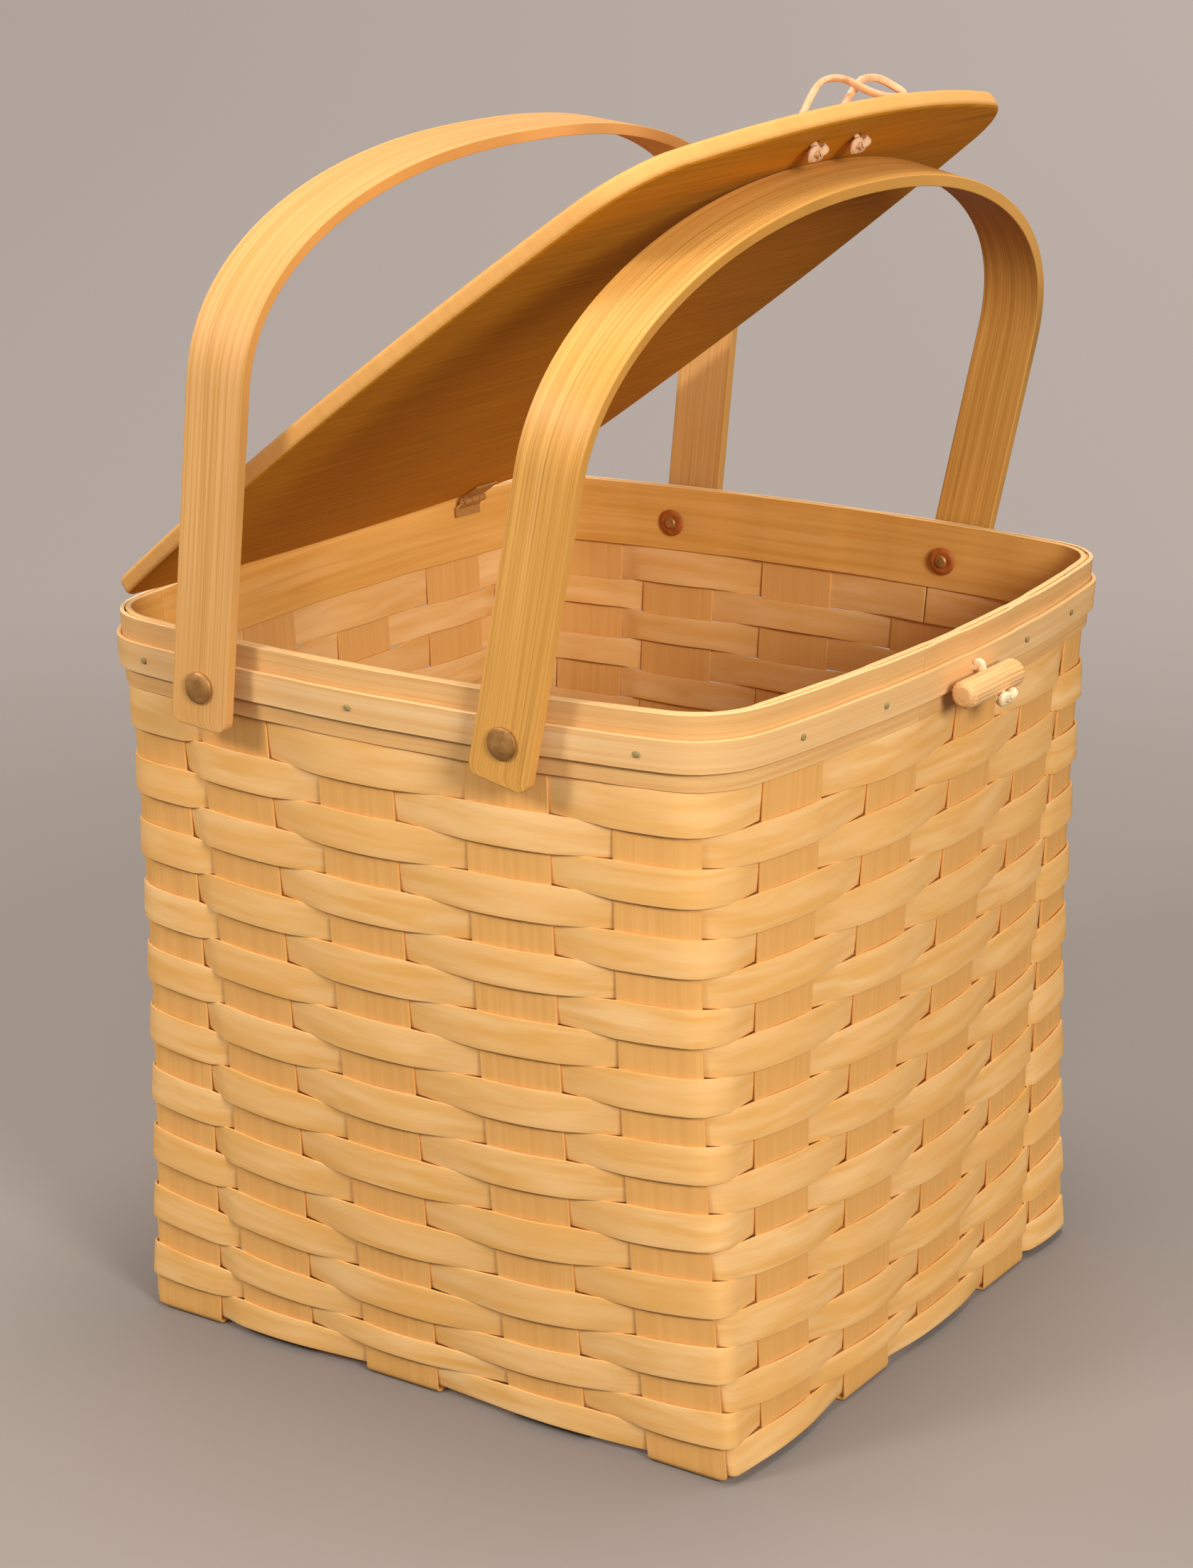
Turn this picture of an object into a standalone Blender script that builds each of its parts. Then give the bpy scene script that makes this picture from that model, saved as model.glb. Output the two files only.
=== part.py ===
# Woven splint basket purse with a propped lid, two bent handles, a peg and a leather loop.
# Metres, +Z up, the basket's base centred on the origin. The free end of the lid points to +X.
import math

import bmesh
import bpy
from mathutils import Matrix, Vector

# Driving dimensions
BASKET_HEIGHT = 0.255
BASE_SIZE_X = 0.2421
BASE_SIZE_Y = 0.2354
SIDE_BOW = 0.0084
SPLINT_WIDTH = 0.0295
SPLINT_THICK = 0.0009
ROWS = 20
ROW_GAP = 0.0003
FRONT_SAG = 0.0083
SIDE_SAG = 0.0105
RIM_BAND_HEIGHT = 0.0242
NAILED_BAND_HEIGHT = 0.0105
HANDLE_WIDTH = 0.0221
HANDLE_THICK = 0.0040
FRONT_HANDLE_HEIGHT = 0.1572
REAR_HANDLE_HEIGHT = 0.1618
FRONT_HANDLE_CLEAR = 0.0011
REAR_HANDLE_CLEAR = 0.0037
LID_THICK = 0.0064
LID_LENGTH = 0.2524
LID_HALF_WIDTH = 0.1225
RIVET_HEAD = 0.0111
RIVET_SHANK = 0.0040
PEG_DIAMETER = 0.0094
PEG_LENGTH = 0.037
LACE = 0.0030
GAP = 0.0003

# Where the splints run, as shares of the way from the middle of a side to its corner
FRONT_BACK_SPLINTS = (-0.865, -0.527, -0.088, 0.405, 0.850)
LEFT_RIGHT_SPLINTS = (-0.720, -0.276, 0.157, 0.580, 0.885)

SCALE_X = BASE_SIZE_X / 0.2421
SCALE_Y = BASE_SIZE_Y / 0.2354
WEAVE = SPLINT_THICK + GAP
WEAVE_ROOM = 0.0045
SPLINT_LINE = -WEAVE
PIVOT_Z = BASKET_HEIGHT - 0.0134
FRONT_PIVOT_X = 0.0534 * SCALE_X
REAR_PIVOT_X = -0.0620 * SCALE_X
FRONT_LEAN = math.radians(11.3)
REAR_LEAN = math.radians(5.6)
LID_CLEAR = 0.0018

for thing in list(bpy.data.objects):
    bpy.data.objects.remove(thing)
scene = bpy.context.scene
purse = bpy.data.collections.new("basket_purse")
cutters = bpy.data.collections.new("cutters")
scene.collection.children.link(purse)
scene.collection.children.link(cutters)


# Shared helpers: a material, an object from a bmesh, and the four ways shapes are made here
def material(name, colour, rough, metal=0.0):
    mat = bpy.data.materials.new(name)
    mat.use_nodes = True
    shader = mat.node_tree.nodes["Principled BSDF"]
    shader.inputs["Base Color"].default_value = (*colour, 1)
    shader.inputs["Roughness"].default_value = rough
    shader.inputs["Metallic"].default_value = metal
    return mat


def add(name, data, look, place=None, helper=False):
    obj = bpy.data.objects.new(name, data)
    (cutters if helper else purse).objects.link(obj)
    if helper:
        obj.hide_render = True
        obj.display_type = "WIRE"
    else:
        colour, rough, metal = look
        obj.data.materials.append(material(name, colour, rough, metal))
    if place is not None:
        obj.matrix_world = place
    return obj


def from_bmesh(name, bm, look, place=None, helper=False):
    bmesh.ops.recalc_face_normals(bm, faces=bm.faces)
    mesh = bpy.data.meshes.new(name)
    bm.to_mesh(mesh)
    bm.free()
    return add(name, mesh, look, place, helper)


def strip(name, rows, thick, look, loop=False, place=None):
    """A bent strip: a grid laid through rows of points, then given its thickness."""
    if loop:
        rows = rows + rows[:1]
    down = len(rows) - 1
    across = len(rows[0]) - 1
    bm = bmesh.new()
    bmesh.ops.create_grid(bm, x_segments=across, y_segments=down, size=1)
    for vert in bm.verts:
        i = round((vert.co.y + 1) / 2 * down)
        j = round((vert.co.x + 1) / 2 * across)
        vert.co = rows[i][j]
    if loop:
        bmesh.ops.remove_doubles(bm, verts=bm.verts, dist=1e-6)
    mesh = bpy.data.meshes.new(name)
    bm.to_mesh(mesh)
    bm.free()
    obj = add(name, mesh, look, place)
    solid = obj.modifiers.new("thickness", "SOLIDIFY")
    solid.thickness = thick
    solid.offset = 0
    solid.use_even_offset = True
    solid.use_quality_normals = True
    return obj


def turned(name, profile, look, place, steps=12):
    """A round piece from (radius, height) points, turned about its own Z axis."""
    bm = bmesh.new()
    verts = [bm.verts.new((r, 0, h)) for r, h in profile]
    for a, b in zip(verts, verts[1:]):
        bm.edges.new((a, b))
    if profile[0][0] > 0:
        bm.edges.new((verts[-1], verts[0]))
    bmesh.ops.spin(
        bm,
        geom=bm.verts[:] + bm.edges[:],
        cent=(0, 0, 0),
        axis=(0, 0, 1),
        angle=2 * math.pi,
        steps=steps,
        use_merge=True,
    )
    bmesh.ops.remove_doubles(bm, verts=bm.verts, dist=1e-7)
    return from_bmesh(name, bm, look, place)


def rod(name, start, end, radius, look=None, place=None, steps=12, helper=True):
    """A plain cylinder between two points."""
    start = Vector(start)
    line = Vector(end) - start
    bm = bmesh.new()
    bmesh.ops.create_cone(
        bm,
        cap_ends=True,
        segments=steps,
        radius1=radius,
        radius2=radius,
        depth=line.length,
    )
    turn = line.to_track_quat("Z", "Y").to_matrix().to_4x4()
    bmesh.ops.transform(bm, matrix=Matrix.Translation(start + line / 2) @ turn, verts=bm.verts)
    return from_bmesh(name, bm, look, place, helper)


def box(name, low, high, look, place):
    bm = bmesh.new()
    bmesh.ops.create_cube(bm, size=1)
    low = Vector(low)
    size = Vector(high) - low
    bmesh.ops.scale(bm, vec=size, verts=bm.verts)
    bmesh.ops.translate(bm, vec=low + size / 2, verts=bm.verts)
    return from_bmesh(name, bm, look, place)


def tube(name, points, radius, swells, look, place=None):
    """A round lace through points. swells gives the radius factor at some of them, as at a knot."""
    curve = bpy.data.curves.new(name, "CURVE")
    curve.dimensions = "3D"
    curve.bevel_depth = radius
    curve.bevel_resolution = 2
    curve.use_fill_caps = True
    spline = curve.splines.new("POLY")
    spline.points.add(len(points) - 1)
    for i, point in enumerate(points):
        spline.points[i].co = (*point, 1)
        spline.points[i].radius = swells.get(i, 1.0)
    return add(name, curve, look, place)


def combine(obj, other, how):
    step = obj.modifiers.new(f"{how.lower()} {other.name}", "BOOLEAN")
    step.operation = how
    step.solver = "EXACT"
    step.object = other


# The basket's outer shape: a square with bowed sides and round corners, at each height
def section(z):
    t = max(z, 0) / BASKET_HEIGHT
    half_x = BASE_SIZE_X / 2 * (1 - 0.1584 * t + 0.1613 * t * t)
    half_y = BASE_SIZE_Y / 2 * (1 + 0.0890 * t + 0.0282 * t * t)
    corner = 0.004 + 0.0215 * t**1.4
    bow = SIDE_BOW * math.sin(math.pi * t / 2)
    return half_x, half_y, corner, bow


def side_shape(z, side):
    """A side's depth, the half length of its bowed part, its turn there, and the corner's share of turn."""
    half_x, half_y, corner, bow = section(z)
    turn_x = 0
    turn_y = 0
    for _ in range(5):
        along_y = half_y - corner * math.cos(turn_y) + corner * math.sin(turn_x)
        along_x = half_x - corner * math.cos(turn_x) + corner * math.sin(turn_y)
        turn_x = math.atan(2 * bow / along_y)
        turn_y = math.atan(2 * bow / along_x)
    middle = (turn_x + math.pi / 2 - turn_y) / 2
    if side % 2 == 0:
        return half_x, along_y, turn_x, middle - turn_x, corner, bow
    return half_y, along_x, turn_y, math.pi / 2 - middle - turn_y, corner, bow


def reach(z, side):
    _, flat, _, arc, corner, _ = side_shape(z, side)
    return flat + corner * arc


def wall(z, side, s, out):
    """The point s metres along a side from its middle, counter-clockwise, and out metres off the shape."""
    depth, flat, turn, _, corner, bow = side_shape(z, side)
    a = abs(s)
    if a <= flat:
        angle = math.atan(2 * bow * a / flat**2)
        d = depth + bow * (1 - (a / flat) ** 2)
        e = a
    else:
        angle = turn + (a - flat) / corner
        d = depth - corner * math.cos(turn) + corner * math.cos(angle)
        e = flat - corner * math.sin(turn) + corner * math.sin(angle)
    d += out * math.cos(angle)
    e = math.copysign(e + out * math.sin(angle), s)
    return Matrix.Rotation(side * math.pi / 2, 3, "Z") @ Vector((d, e, z))


# Upright splints: sides 0 to 3 face +X, +Y, -X and -Y
def splints_of(side):
    """(index, share) of the uprights on a side, counter-clockwise."""
    shares = LEFT_RIGHT_SPLINTS if side % 2 == 0 else FRONT_BACK_SPLINTS
    numbered = list(enumerate(shares, 1))
    if side in (1, 2):
        return [(i, -share) for i, share in reversed(numbered)]
    return numbered


def splint_middle(z, side, share):
    """Distance along a side of an upright's middle, moved in where its outer neighbour needs the room."""
    full = reach(z, side)
    outer = [abs(s) for _, s in splints_of(side) if s * share > 0 and abs(s) >= abs(share) - 1e-9]
    middle = full + SPLINT_WIDTH
    for s in sorted(outer, reverse=True):
        middle = min(s * full, middle - SPLINT_WIDTH - WEAVE_ROOM)
    return math.copysign(middle, share)


def splint_columns(z, side, share):
    """Distances along a side of an upright's edges, with a third column where it wraps round the corner."""
    limit = 0.975 * reach(z, side)
    middle = splint_middle(z, side, share)
    low = max(middle - SPLINT_WIDTH / 2, -limit)
    high = min(middle + SPLINT_WIDTH / 2, limit)
    if abs(share) < 0.8:
        return [low, high]
    fold = 0.6 if share > 0 else 0.4
    return [low, low + fold * (high - low), high]


FRONT = 3
BACK = 1
RIGHT = 0
LEFT = 2
LOW = SPLINT_THICK / 2
HIGH = LOW + WEAVE
WALL_ROWS = (0.0042, 0.0135, 0.032, 0.053, 0.078, 0.108, 0.140, 0.172, 0.206, 0.251)
CORNER_ROWS = (0.0042, 0.0135, 0.0247, 0.036, 0.047, 0.059, 0.073, 0.090)
CORNER_ROWS += (0.108, 0.126, 0.144, 0.163, 0.183, 0.206, 0.229, 0.251)


def base_columns(side, share):
    """Where an upright's columns cross the base, clear of the bends of the outermost crossing splints."""
    half = (BASE_SIZE_X if side % 2 else BASE_SIZE_Y) / 2 - 0.0065
    return [max(-half, min(half, s)) for s in splint_columns(0, side, share)]


def upright(name, index, share, near_side, crossing_side, look):
    """One splint up a wall, woven across the base and up the wall opposite."""
    far_side = (near_side + 2) % 4
    half = (BASE_SIZE_Y if near_side % 2 else BASE_SIZE_X) / 2 + SPLINT_LINE
    flat = base_columns(near_side, share)
    scale = BASKET_HEIGHT / 0.255

    def climb(side, sign, level):
        rows = [
            [(sign * (half - 0.0015), level, s) for s in flat],
            [(sign * (half - 0.00035), level + 0.00045, s) for s in flat],
        ]
        heights = [level + 0.00165]
        wall_rows = CORNER_ROWS if abs(share) > 0.8 else WALL_ROWS
        heights += [z * scale if z > 0.02 else z for z in wall_rows]
        for z in heights:
            found = splint_columns(z, side, share if side == near_side else -share)
            points = [wall(z, side, s, SPLINT_LINE) for s in found]
            if side != near_side:
                points.reverse()
            rows.append(points)
        return rows

    crossing = splints_of(crossing_side)
    levels = [LOW if (index + other) % 2 == 0 else HIGH for other, _ in crossing]
    if near_side == LEFT:
        levels = [HIGH if (index + other) % 2 == 0 else LOW for other, _ in crossing]
    edges = [(c[0], c[-1]) for c in (base_columns(crossing_side, s) for _, s in crossing)]
    middle = []
    for i, level in enumerate(levels):
        if i:
            start = min(middle[-1][0][0] + 0.008, edges[i][0] - 0.0008)
            middle.append([(start, level, s) for s in flat])
        if i < len(levels) - 1:
            middle.append([(edges[i][1] + 0.0008, level, s) for s in flat])

    def placed(row):
        if isinstance(row[0], Vector):
            return row
        if near_side == FRONT:
            return [Vector((s, d, z)) for d, z, s in row]
        return [Vector((d, -s, z)) for d, z, s in row]

    rows = list(reversed(climb(near_side, -1, levels[0])))
    rows += middle
    rows += climb(far_side, 1, levels[-1])
    return strip(name, [placed(row) for row in rows], SPLINT_THICK, look)


ASH_UPRIGHT = ((0.71, 0.39, 0.10), 0.55, 0.0)
ASH_WEAVER = ((0.80, 0.50, 0.17), 0.55, 0.0)
uprights = {}
for number, part in enumerate(FRONT_BACK_SPLINTS, 1):
    title = f"upright_front_back_{number}"
    uprights["y", number] = upright(title, number, part, FRONT, RIGHT, ASH_UPRIGHT)
for number, part in enumerate(LEFT_RIGHT_SPLINTS, 1):
    title = f"upright_left_right_{number}"
    uprights["x", number] = upright(title, number, -part, LEFT, FRONT, ASH_UPRIGHT)


# Hoops round the basket: stations at every upright's edges and at two open corners
def stations(z, widen=0.0):
    """(side, distance, index of the upright or None) counter-clockwise."""
    found = []
    for side in range(4):
        full = reach(z, side)
        if side == RIGHT:
            found.append((side, -0.93 * full, None))
        for index, share in splints_of(side):
            columns = splint_columns(z, side, share)
            columns[0] -= widen
            columns[-1] += widen
            found += [(side, s, index) for s in columns]
        if side == LEFT:
            found.append((side, 0.93 * full, None))
    return found


def hoop(name, low, high, thick, out, look):
    """A closed band between two heights, out metres off the outer shape."""
    rows = []
    for lower, upper in zip(stations(low), stations(high)):
        rows.append([wall(low, lower[0], lower[1], out), wall(high, upper[0], upper[1], out)])
    return strip(name, rows, thick, look, loop=True)


# The weave hangs between the corners: most of all low down, and not at all at the base or the rim
WEAVE_START = 0.0029
SAG_RISE = 0.084 * BASKET_HEIGHT
SAG_END = 0.843 * BASKET_HEIGHT
SAG_PEAK = 1.28


def sag(z, side, s):
    """How far the weave at a height lies below its height at the corners."""
    most = SIDE_SAG if side % 2 == 0 else FRONT_SAG
    rise = 1 - math.exp(-(((z - WEAVE_START) / SAG_RISE) ** 2))
    fade = max(0, 1 - z / SAG_END)
    share = s / reach(z, side)
    return most * SAG_PEAK * rise * fade * max(0, 1 - share * share) ** 1.2


def sunk(z):
    """(height, station) along one edge of a weaver, where z is its height at the corners."""
    found = []
    for number, (side, s, _) in enumerate(stations(z, GAP)):
        low = z - sag(z, side, s)
        found.append((low, stations(low, GAP)[number]))
    return found


def weaver(name, low, high, out, look):
    """A splint woven round the basket. out maps a station to its distance off the outer shape."""
    rows = []
    for (z_low, lower), (z_high, upper) in zip(sunk(low), sunk(high)):
        start = wall(z_low, lower[0], lower[1], out(lower))
        rows.append([start, wall(z_high, upper[0], upper[1], out(lower))])
    return strip(name, rows, SPLINT_THICK, look, loop=True)


ROW_PITCH = 0.0113 * BASKET_HEIGHT / 0.255
ROW_HEIGHT = ROW_PITCH - ROW_GAP
FIRST_ROW = 0.00795 * BASKET_HEIGHT / 0.255


def weave_of(row):
    def out(station):
        side, _, index = station
        if index is None:
            return SPLINT_LINE
        odd = index % 2 == 1
        hidden_behind = odd if side % 2 else not odd
        if row % 2:
            hidden_behind = not hidden_behind
        return SPLINT_LINE + (-WEAVE if hidden_behind else WEAVE)

    return out


for row in range(ROWS):
    middle_z = FIRST_ROW + row * ROW_PITCH
    bottom = max(middle_z - ROW_HEIGHT / 2, WEAVE_START)
    top = middle_z + ROW_HEIGHT / 2
    weaver(f"weaver_{row + 1:02d}", bottom, top, weave_of(row), ASH_WEAVER)


# Rim: an inner band, a wide outer band and a narrow nailed band, all round the uprights' ends
INNER_THICK = 0.0020
OUTER_THICK = 0.0014
NAILED_THICK = 0.0016
RIM_LOW = BASKET_HEIGHT - RIM_BAND_HEIGHT
INNER_OFF = SPLINT_LINE - SPLINT_THICK / 2 - GAP - INNER_THICK / 2
OUTER_OFF = SPLINT_LINE + SPLINT_THICK / 2 + GAP + OUTER_THICK / 2
NAILED_OFF = OUTER_OFF + OUTER_THICK / 2 + GAP + NAILED_THICK / 2
RIM_OUT = NAILED_OFF + NAILED_THICK / 2
RIM_IN = INNER_OFF - INNER_THICK / 2
NAILED_LOW = BASKET_HEIGHT - 0.0181
NAILED_HIGH = NAILED_LOW + NAILED_BAND_HEIGHT
RIM_WOOD = ((0.62, 0.36, 0.12), 0.5, 0.0)
BAND_WOOD = ((0.56, 0.31, 0.09), 0.5, 0.0)
inner_band = hoop("inner_rim_band", RIM_LOW, BASKET_HEIGHT, INNER_THICK, INNER_OFF, RIM_WOOD)
outer_band = hoop("outer_rim_band", RIM_LOW, BASKET_HEIGHT, OUTER_THICK, OUTER_OFF, RIM_WOOD)
nailed_band = hoop("nailed_rim_band", NAILED_LOW, NAILED_HIGH, NAILED_THICK, NAILED_OFF, BAND_WOOD)


def wall_y(x, z, out):
    """How far the front and back walls stand from the middle at x."""
    return abs(wall(z, BACK, -x, out).y)


def wall_x(y, z, out):
    return abs(wall(z, RIGHT, y, out).x)


def band_x(y, z, out):
    """How far the left side of a band stands from the middle at y: it runs straight between stations."""
    line = [wall(z, LEFT, s, out) for side, s, _ in stations(z) if side == LEFT]
    for a, b in zip(line, line[1:]):
        if b.y <= y <= a.y:
            return abs(a.x + (b.x - a.x) * (y - a.y) / (b.y - a.y))


# Handles: a bent strip in its own plane, turning on two rivets, with the origin on the rivets' axis
HANDLE_WOOD = ((0.60, 0.33, 0.09), 0.45, 0.0)
HANDLE_TAIL = 0.0135


def handle_line(root, top, shoulder, height, power):
    """Points of one bow: straight legs from the tails, then a rounded arch."""
    straight = [(root, -HANDLE_TAIL), (root, -HANDLE_TAIL + 0.003), (root, 0.012), (top, shoulder)]
    arch = []
    turns = 26
    for i in range(1, turns):
        angle = math.pi * i / turns
        side = math.copysign(abs(math.cos(angle)) ** (2 / power), math.cos(angle))
        arch.append((top * side, shoulder + math.sin(angle) ** (2 / power) * (height - shoulder)))
    mirrored = [(-y, h) for y, h in reversed(straight)]
    return straight + arch + mirrored


def handle(name, x, lean, root, line):
    place = Matrix.Translation((x, 0, PIVOT_Z)) @ Matrix.Rotation(lean, 4, "Y")
    rows = []
    for i, (y, h) in enumerate(line):
        half = HANDLE_WIDTH / 2
        if i in (0, len(line) - 1):
            half -= 0.003
        rows.append([Vector((-half, y, h)), Vector((half, y, h))])
    obj = strip(name, rows, HANDLE_THICK, HANDLE_WOOD, place=place)
    edge = obj.modifiers.new("eased edges", "BEVEL")
    edge.width = 0.0008
    edge.segments = 1
    edge.limit_method = "ANGLE"
    edge.angle_limit = math.radians(60)
    for side in (-1, 1):
        start = (x, side * (root - 0.006), PIVOT_Z)
        end = (x, side * (root + 0.006), PIVOT_Z)
        hole = rod(f"{name}_hole_{side + 1}", start, end, RIVET_SHANK / 2 + GAP)
        combine(obj, hole, "DIFFERENCE")
    return obj


def handle_root(x, clear):
    """Where a handle's middle plane stands at its rivets: clear of the bands over its whole width."""
    half = HANDLE_WIDTH / 2
    found = [wall_y(x + dx, z, RIM_OUT) for dx in (-half, 0, half) for z in (NAILED_LOW, NAILED_HIGH)]
    return max(found) + clear + HANDLE_THICK / 2


FRONT_ROOT = handle_root(FRONT_PIVOT_X, FRONT_HANDLE_CLEAR)
REAR_ROOT = handle_root(REAR_PIVOT_X, REAR_HANDLE_CLEAR)
FRONT_TOP = FRONT_ROOT + 0.0012
REAR_TOP = REAR_ROOT - 0.0006
FRONT_SHOULDER = 0.0845
REAR_SHOULDER = 0.0957
FRONT_ROUND = 2.13
REAR_ROUND = 2.29
front_line = handle_line(FRONT_ROOT, FRONT_TOP, FRONT_SHOULDER, FRONT_HANDLE_HEIGHT, FRONT_ROUND)
rear_line = handle_line(REAR_ROOT, REAR_TOP, REAR_SHOULDER, REAR_HANDLE_HEIGHT, REAR_ROUND)
handle("front_handle", FRONT_PIVOT_X, FRONT_LEAN, FRONT_ROOT, front_line)
handle("rear_handle", REAR_PIVOT_X, REAR_LEAN, REAR_ROOT, rear_line)

# Rivets and burrs: each shank runs through the handle, both outer bands, the upright and the inner band
COPPER = ((0.30, 0.13, 0.06), 0.4, 1.0)
BURR_COPPER = ((0.34, 0.12, 0.04), 0.5, 1.0)
BURR_RADIUS = 0.0047
BURR_THICK = 0.0012
for title, x, root, crossed in (
    ("front", FRONT_PIVOT_X, FRONT_ROOT, 4),
    ("rear", REAR_PIVOT_X, REAR_ROOT, 2),
):
    for side, label in ((-1, "near"), (1, "far")):
        reaches = []
        for step in range(12):
            angle = math.pi * step / 6
            dx = BURR_RADIUS * math.cos(angle)
            dz = BURR_RADIUS * math.sin(angle)
            reaches.append(wall_y(x + dx, PIVOT_Z + dz, RIM_IN))
        burr_y = min(reaches) - GAP
        head_y = root + HANDLE_THICK / 2 + GAP
        tip_y = burr_y - BURR_THICK - 0.0008
        shank = RIVET_SHANK / 2
        head = RIVET_HEAD / 2
        profile = [
            (0, 0.0018),
            (head * 0.55, 0.0015),
            (head, 0.0004),
            (head, 0),
            (shank, 0),
            (shank, tip_y - head_y),
            (0, tip_y - head_y),
        ]
        outward = Matrix.Rotation(-side * math.pi / 2, 4, "X")
        on_handle = Matrix.Translation((x, side * head_y, PIVOT_Z)) @ outward
        turned(f"{title}_rivet_{label}", profile, COPPER, on_handle)
        ring = [
            (shank + GAP, 0),
            (shank + GAP, -BURR_THICK),
            (BURR_RADIUS, -BURR_THICK),
            (BURR_RADIUS, 0),
        ]
        in_rim = Matrix.Translation((x, side * burr_y, PIVOT_Z)) @ outward
        turned(f"{title}_burr_{label}", ring, BURR_COPPER, in_rim)
        start = (x, side * 0.10 * SCALE_Y, PIVOT_Z)
        end = (x, side * 0.16 * SCALE_Y, PIVOT_Z)
        drill = rod(f"drill_{title}_{label}", start, end, shank + GAP)
        for band in (inner_band, outer_band, nailed_band, uprights["y", crossed]):
            combine(band, drill, "DIFFERENCE")

# Rim nails: the seven that the photo shows, through both outer bands
NAIL_METAL = ((0.20, 0.19, 0.09), 0.45, 1.0)
NAIL_Z = BASKET_HEIGHT - 0.013
NAIL_SHANK = 0.0006
nail_spots = [("front", x * SCALE_X) for x in (-0.0966, -0.0082, 0.0931)]
nail_spots += [("right", y * SCALE_Y) for y in (-0.0917, -0.0480, 0.0479, 0.0885)]
for number, (face, s) in enumerate(nail_spots, 1):
    side = FRONT if face == "front" else RIGHT
    at = wall(NAIL_Z, side, s, RIM_OUT)
    away = (wall(NAIL_Z, side, s, RIM_OUT + 0.01) - at).normalized()
    rise = wall(NAIL_Z + 0.004, side, s, RIM_OUT) - wall(NAIL_Z - 0.004, side, s, RIM_OUT)
    away = (away - rise * away.dot(rise) / rise.length_squared).normalized()
    turn = away.to_track_quat("Z", "Y").to_matrix().to_4x4()
    depth = NAILED_THICK + GAP + OUTER_THICK
    profile = [
        (0, 0.0010),
        (0.0009, 0.0008),
        (0.0015, GAP),
        (NAIL_SHANK, GAP),
        (NAIL_SHANK, -depth),
        (0, -depth),
    ]
    turned(f"rim_nail_{number}", profile, NAIL_METAL, Matrix.Translation(at) @ turn, steps=8)
    deep = at - away * (depth + 0.0002)
    drill = rod(f"nail_drill_{number}", at + away * 0.003, deep, NAIL_SHANK + GAP, steps=8)
    for band in (outer_band, nailed_band):
        combine(band, drill, "DIFFERENCE")


# The lid turns about pins just inside the left side of the rim
HINGE_Y = 0.079 * SCALE_Y
HINGE_HALF = 0.0065
HINGE_CLEAR = 0.00283
AXIS_Z = BASKET_HEIGHT - 0.0015
seat_x = min(band_x(side * (HINGE_Y + HINGE_HALF), AXIS_Z, RIM_IN) for side in (-1, 1))
LID_AXIS = Vector((HINGE_CLEAR - seat_x, 0, AXIS_Z))


# The lid rests on the front handle: its angle is set by the higher edge of that handle's top
def rest_angle():
    top = FRONT_HANDLE_HEIGHT + HANDLE_THICK / 2
    angles = []
    for edge in (-HANDLE_WIDTH / 2, HANDLE_WIDTH / 2):
        x = FRONT_PIVOT_X + top * math.sin(FRONT_LEAN) + edge * math.cos(FRONT_LEAN)
        z = PIVOT_Z + top * math.cos(FRONT_LEAN) - edge * math.sin(FRONT_LEAN)
        along = math.hypot(x - LID_AXIS.x, z - LID_AXIS.z)
        angles.append(math.atan2(z - LID_AXIS.z, x - LID_AXIS.x) - math.asin((LID_CLEAR - GAP) / along))
    return max(angles)


LID_OPEN = rest_angle()
LID_PLACE = Matrix.Translation(LID_AXIS) @ Matrix.Rotation(-LID_OPEN, 4, "Y")
LID_BACK = 0.0044
LID_BOWS = (0.0060, 0.0100, 0.0106)
LID_FRONT_CORNER = 0.032
LID_BACK_CORNER = 0.006
LID_WOOD = ((0.66, 0.33, 0.11), 0.5, 0.0)


def lid_outline():
    """Half of the lid's outline, back middle to front middle, in the lid's own axes."""
    length = LID_LENGTH * SCALE_X
    half = LID_HALF_WIDTH * SCALE_Y
    back, side, front = LID_BOWS
    turn_back = math.atan(2 * back / half)
    turn_front = math.atan(2 * front / (half * 0.8))
    turn_side = math.atan(4 * side / (length * 0.9))
    points = []
    flat = half - LID_BACK_CORNER * (math.cos(turn_side) - math.sin(turn_back))
    for i in range(6):
        y = flat * i / 6
        points.append((-back * (1 - (y / flat) ** 2), y))
    centre = (LID_BACK_CORNER * math.cos(turn_back), half - LID_BACK_CORNER * math.cos(turn_side))
    first = turn_back
    last = math.pi / 2 - turn_side
    for i in range(6):
        angle = first + (last - first) * i / 5
        across = LID_BACK_CORNER * math.sin(angle)
        points.append((centre[0] - LID_BACK_CORNER * math.cos(angle), centre[1] + across))
    side_start = points[-1][0]
    side_end = length - LID_FRONT_CORNER * (math.cos(turn_front) - math.sin(turn_side))
    for i in range(1, 8):
        x = side_start + (side_end - side_start) * i / 8
        share = (2 * x - side_start - side_end) / (side_end - side_start)
        points.append((x, half + side * (1 - share**2)))
    centre_x = length - LID_FRONT_CORNER * math.cos(turn_front)
    centre_y = half - LID_FRONT_CORNER * math.cos(turn_side)
    for i in range(7):
        angle = last + (turn_front - last) * i / 6
        across = LID_FRONT_CORNER * math.sin(angle)
        points.append((centre_x + LID_FRONT_CORNER * math.cos(angle), centre_y + across))
    flat = points[-1][1]
    for i in range(1, 7):
        y = flat * (1 - i / 6)
        points.append((length + front * (1 - (y / flat) ** 2), y))
    return points


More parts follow.
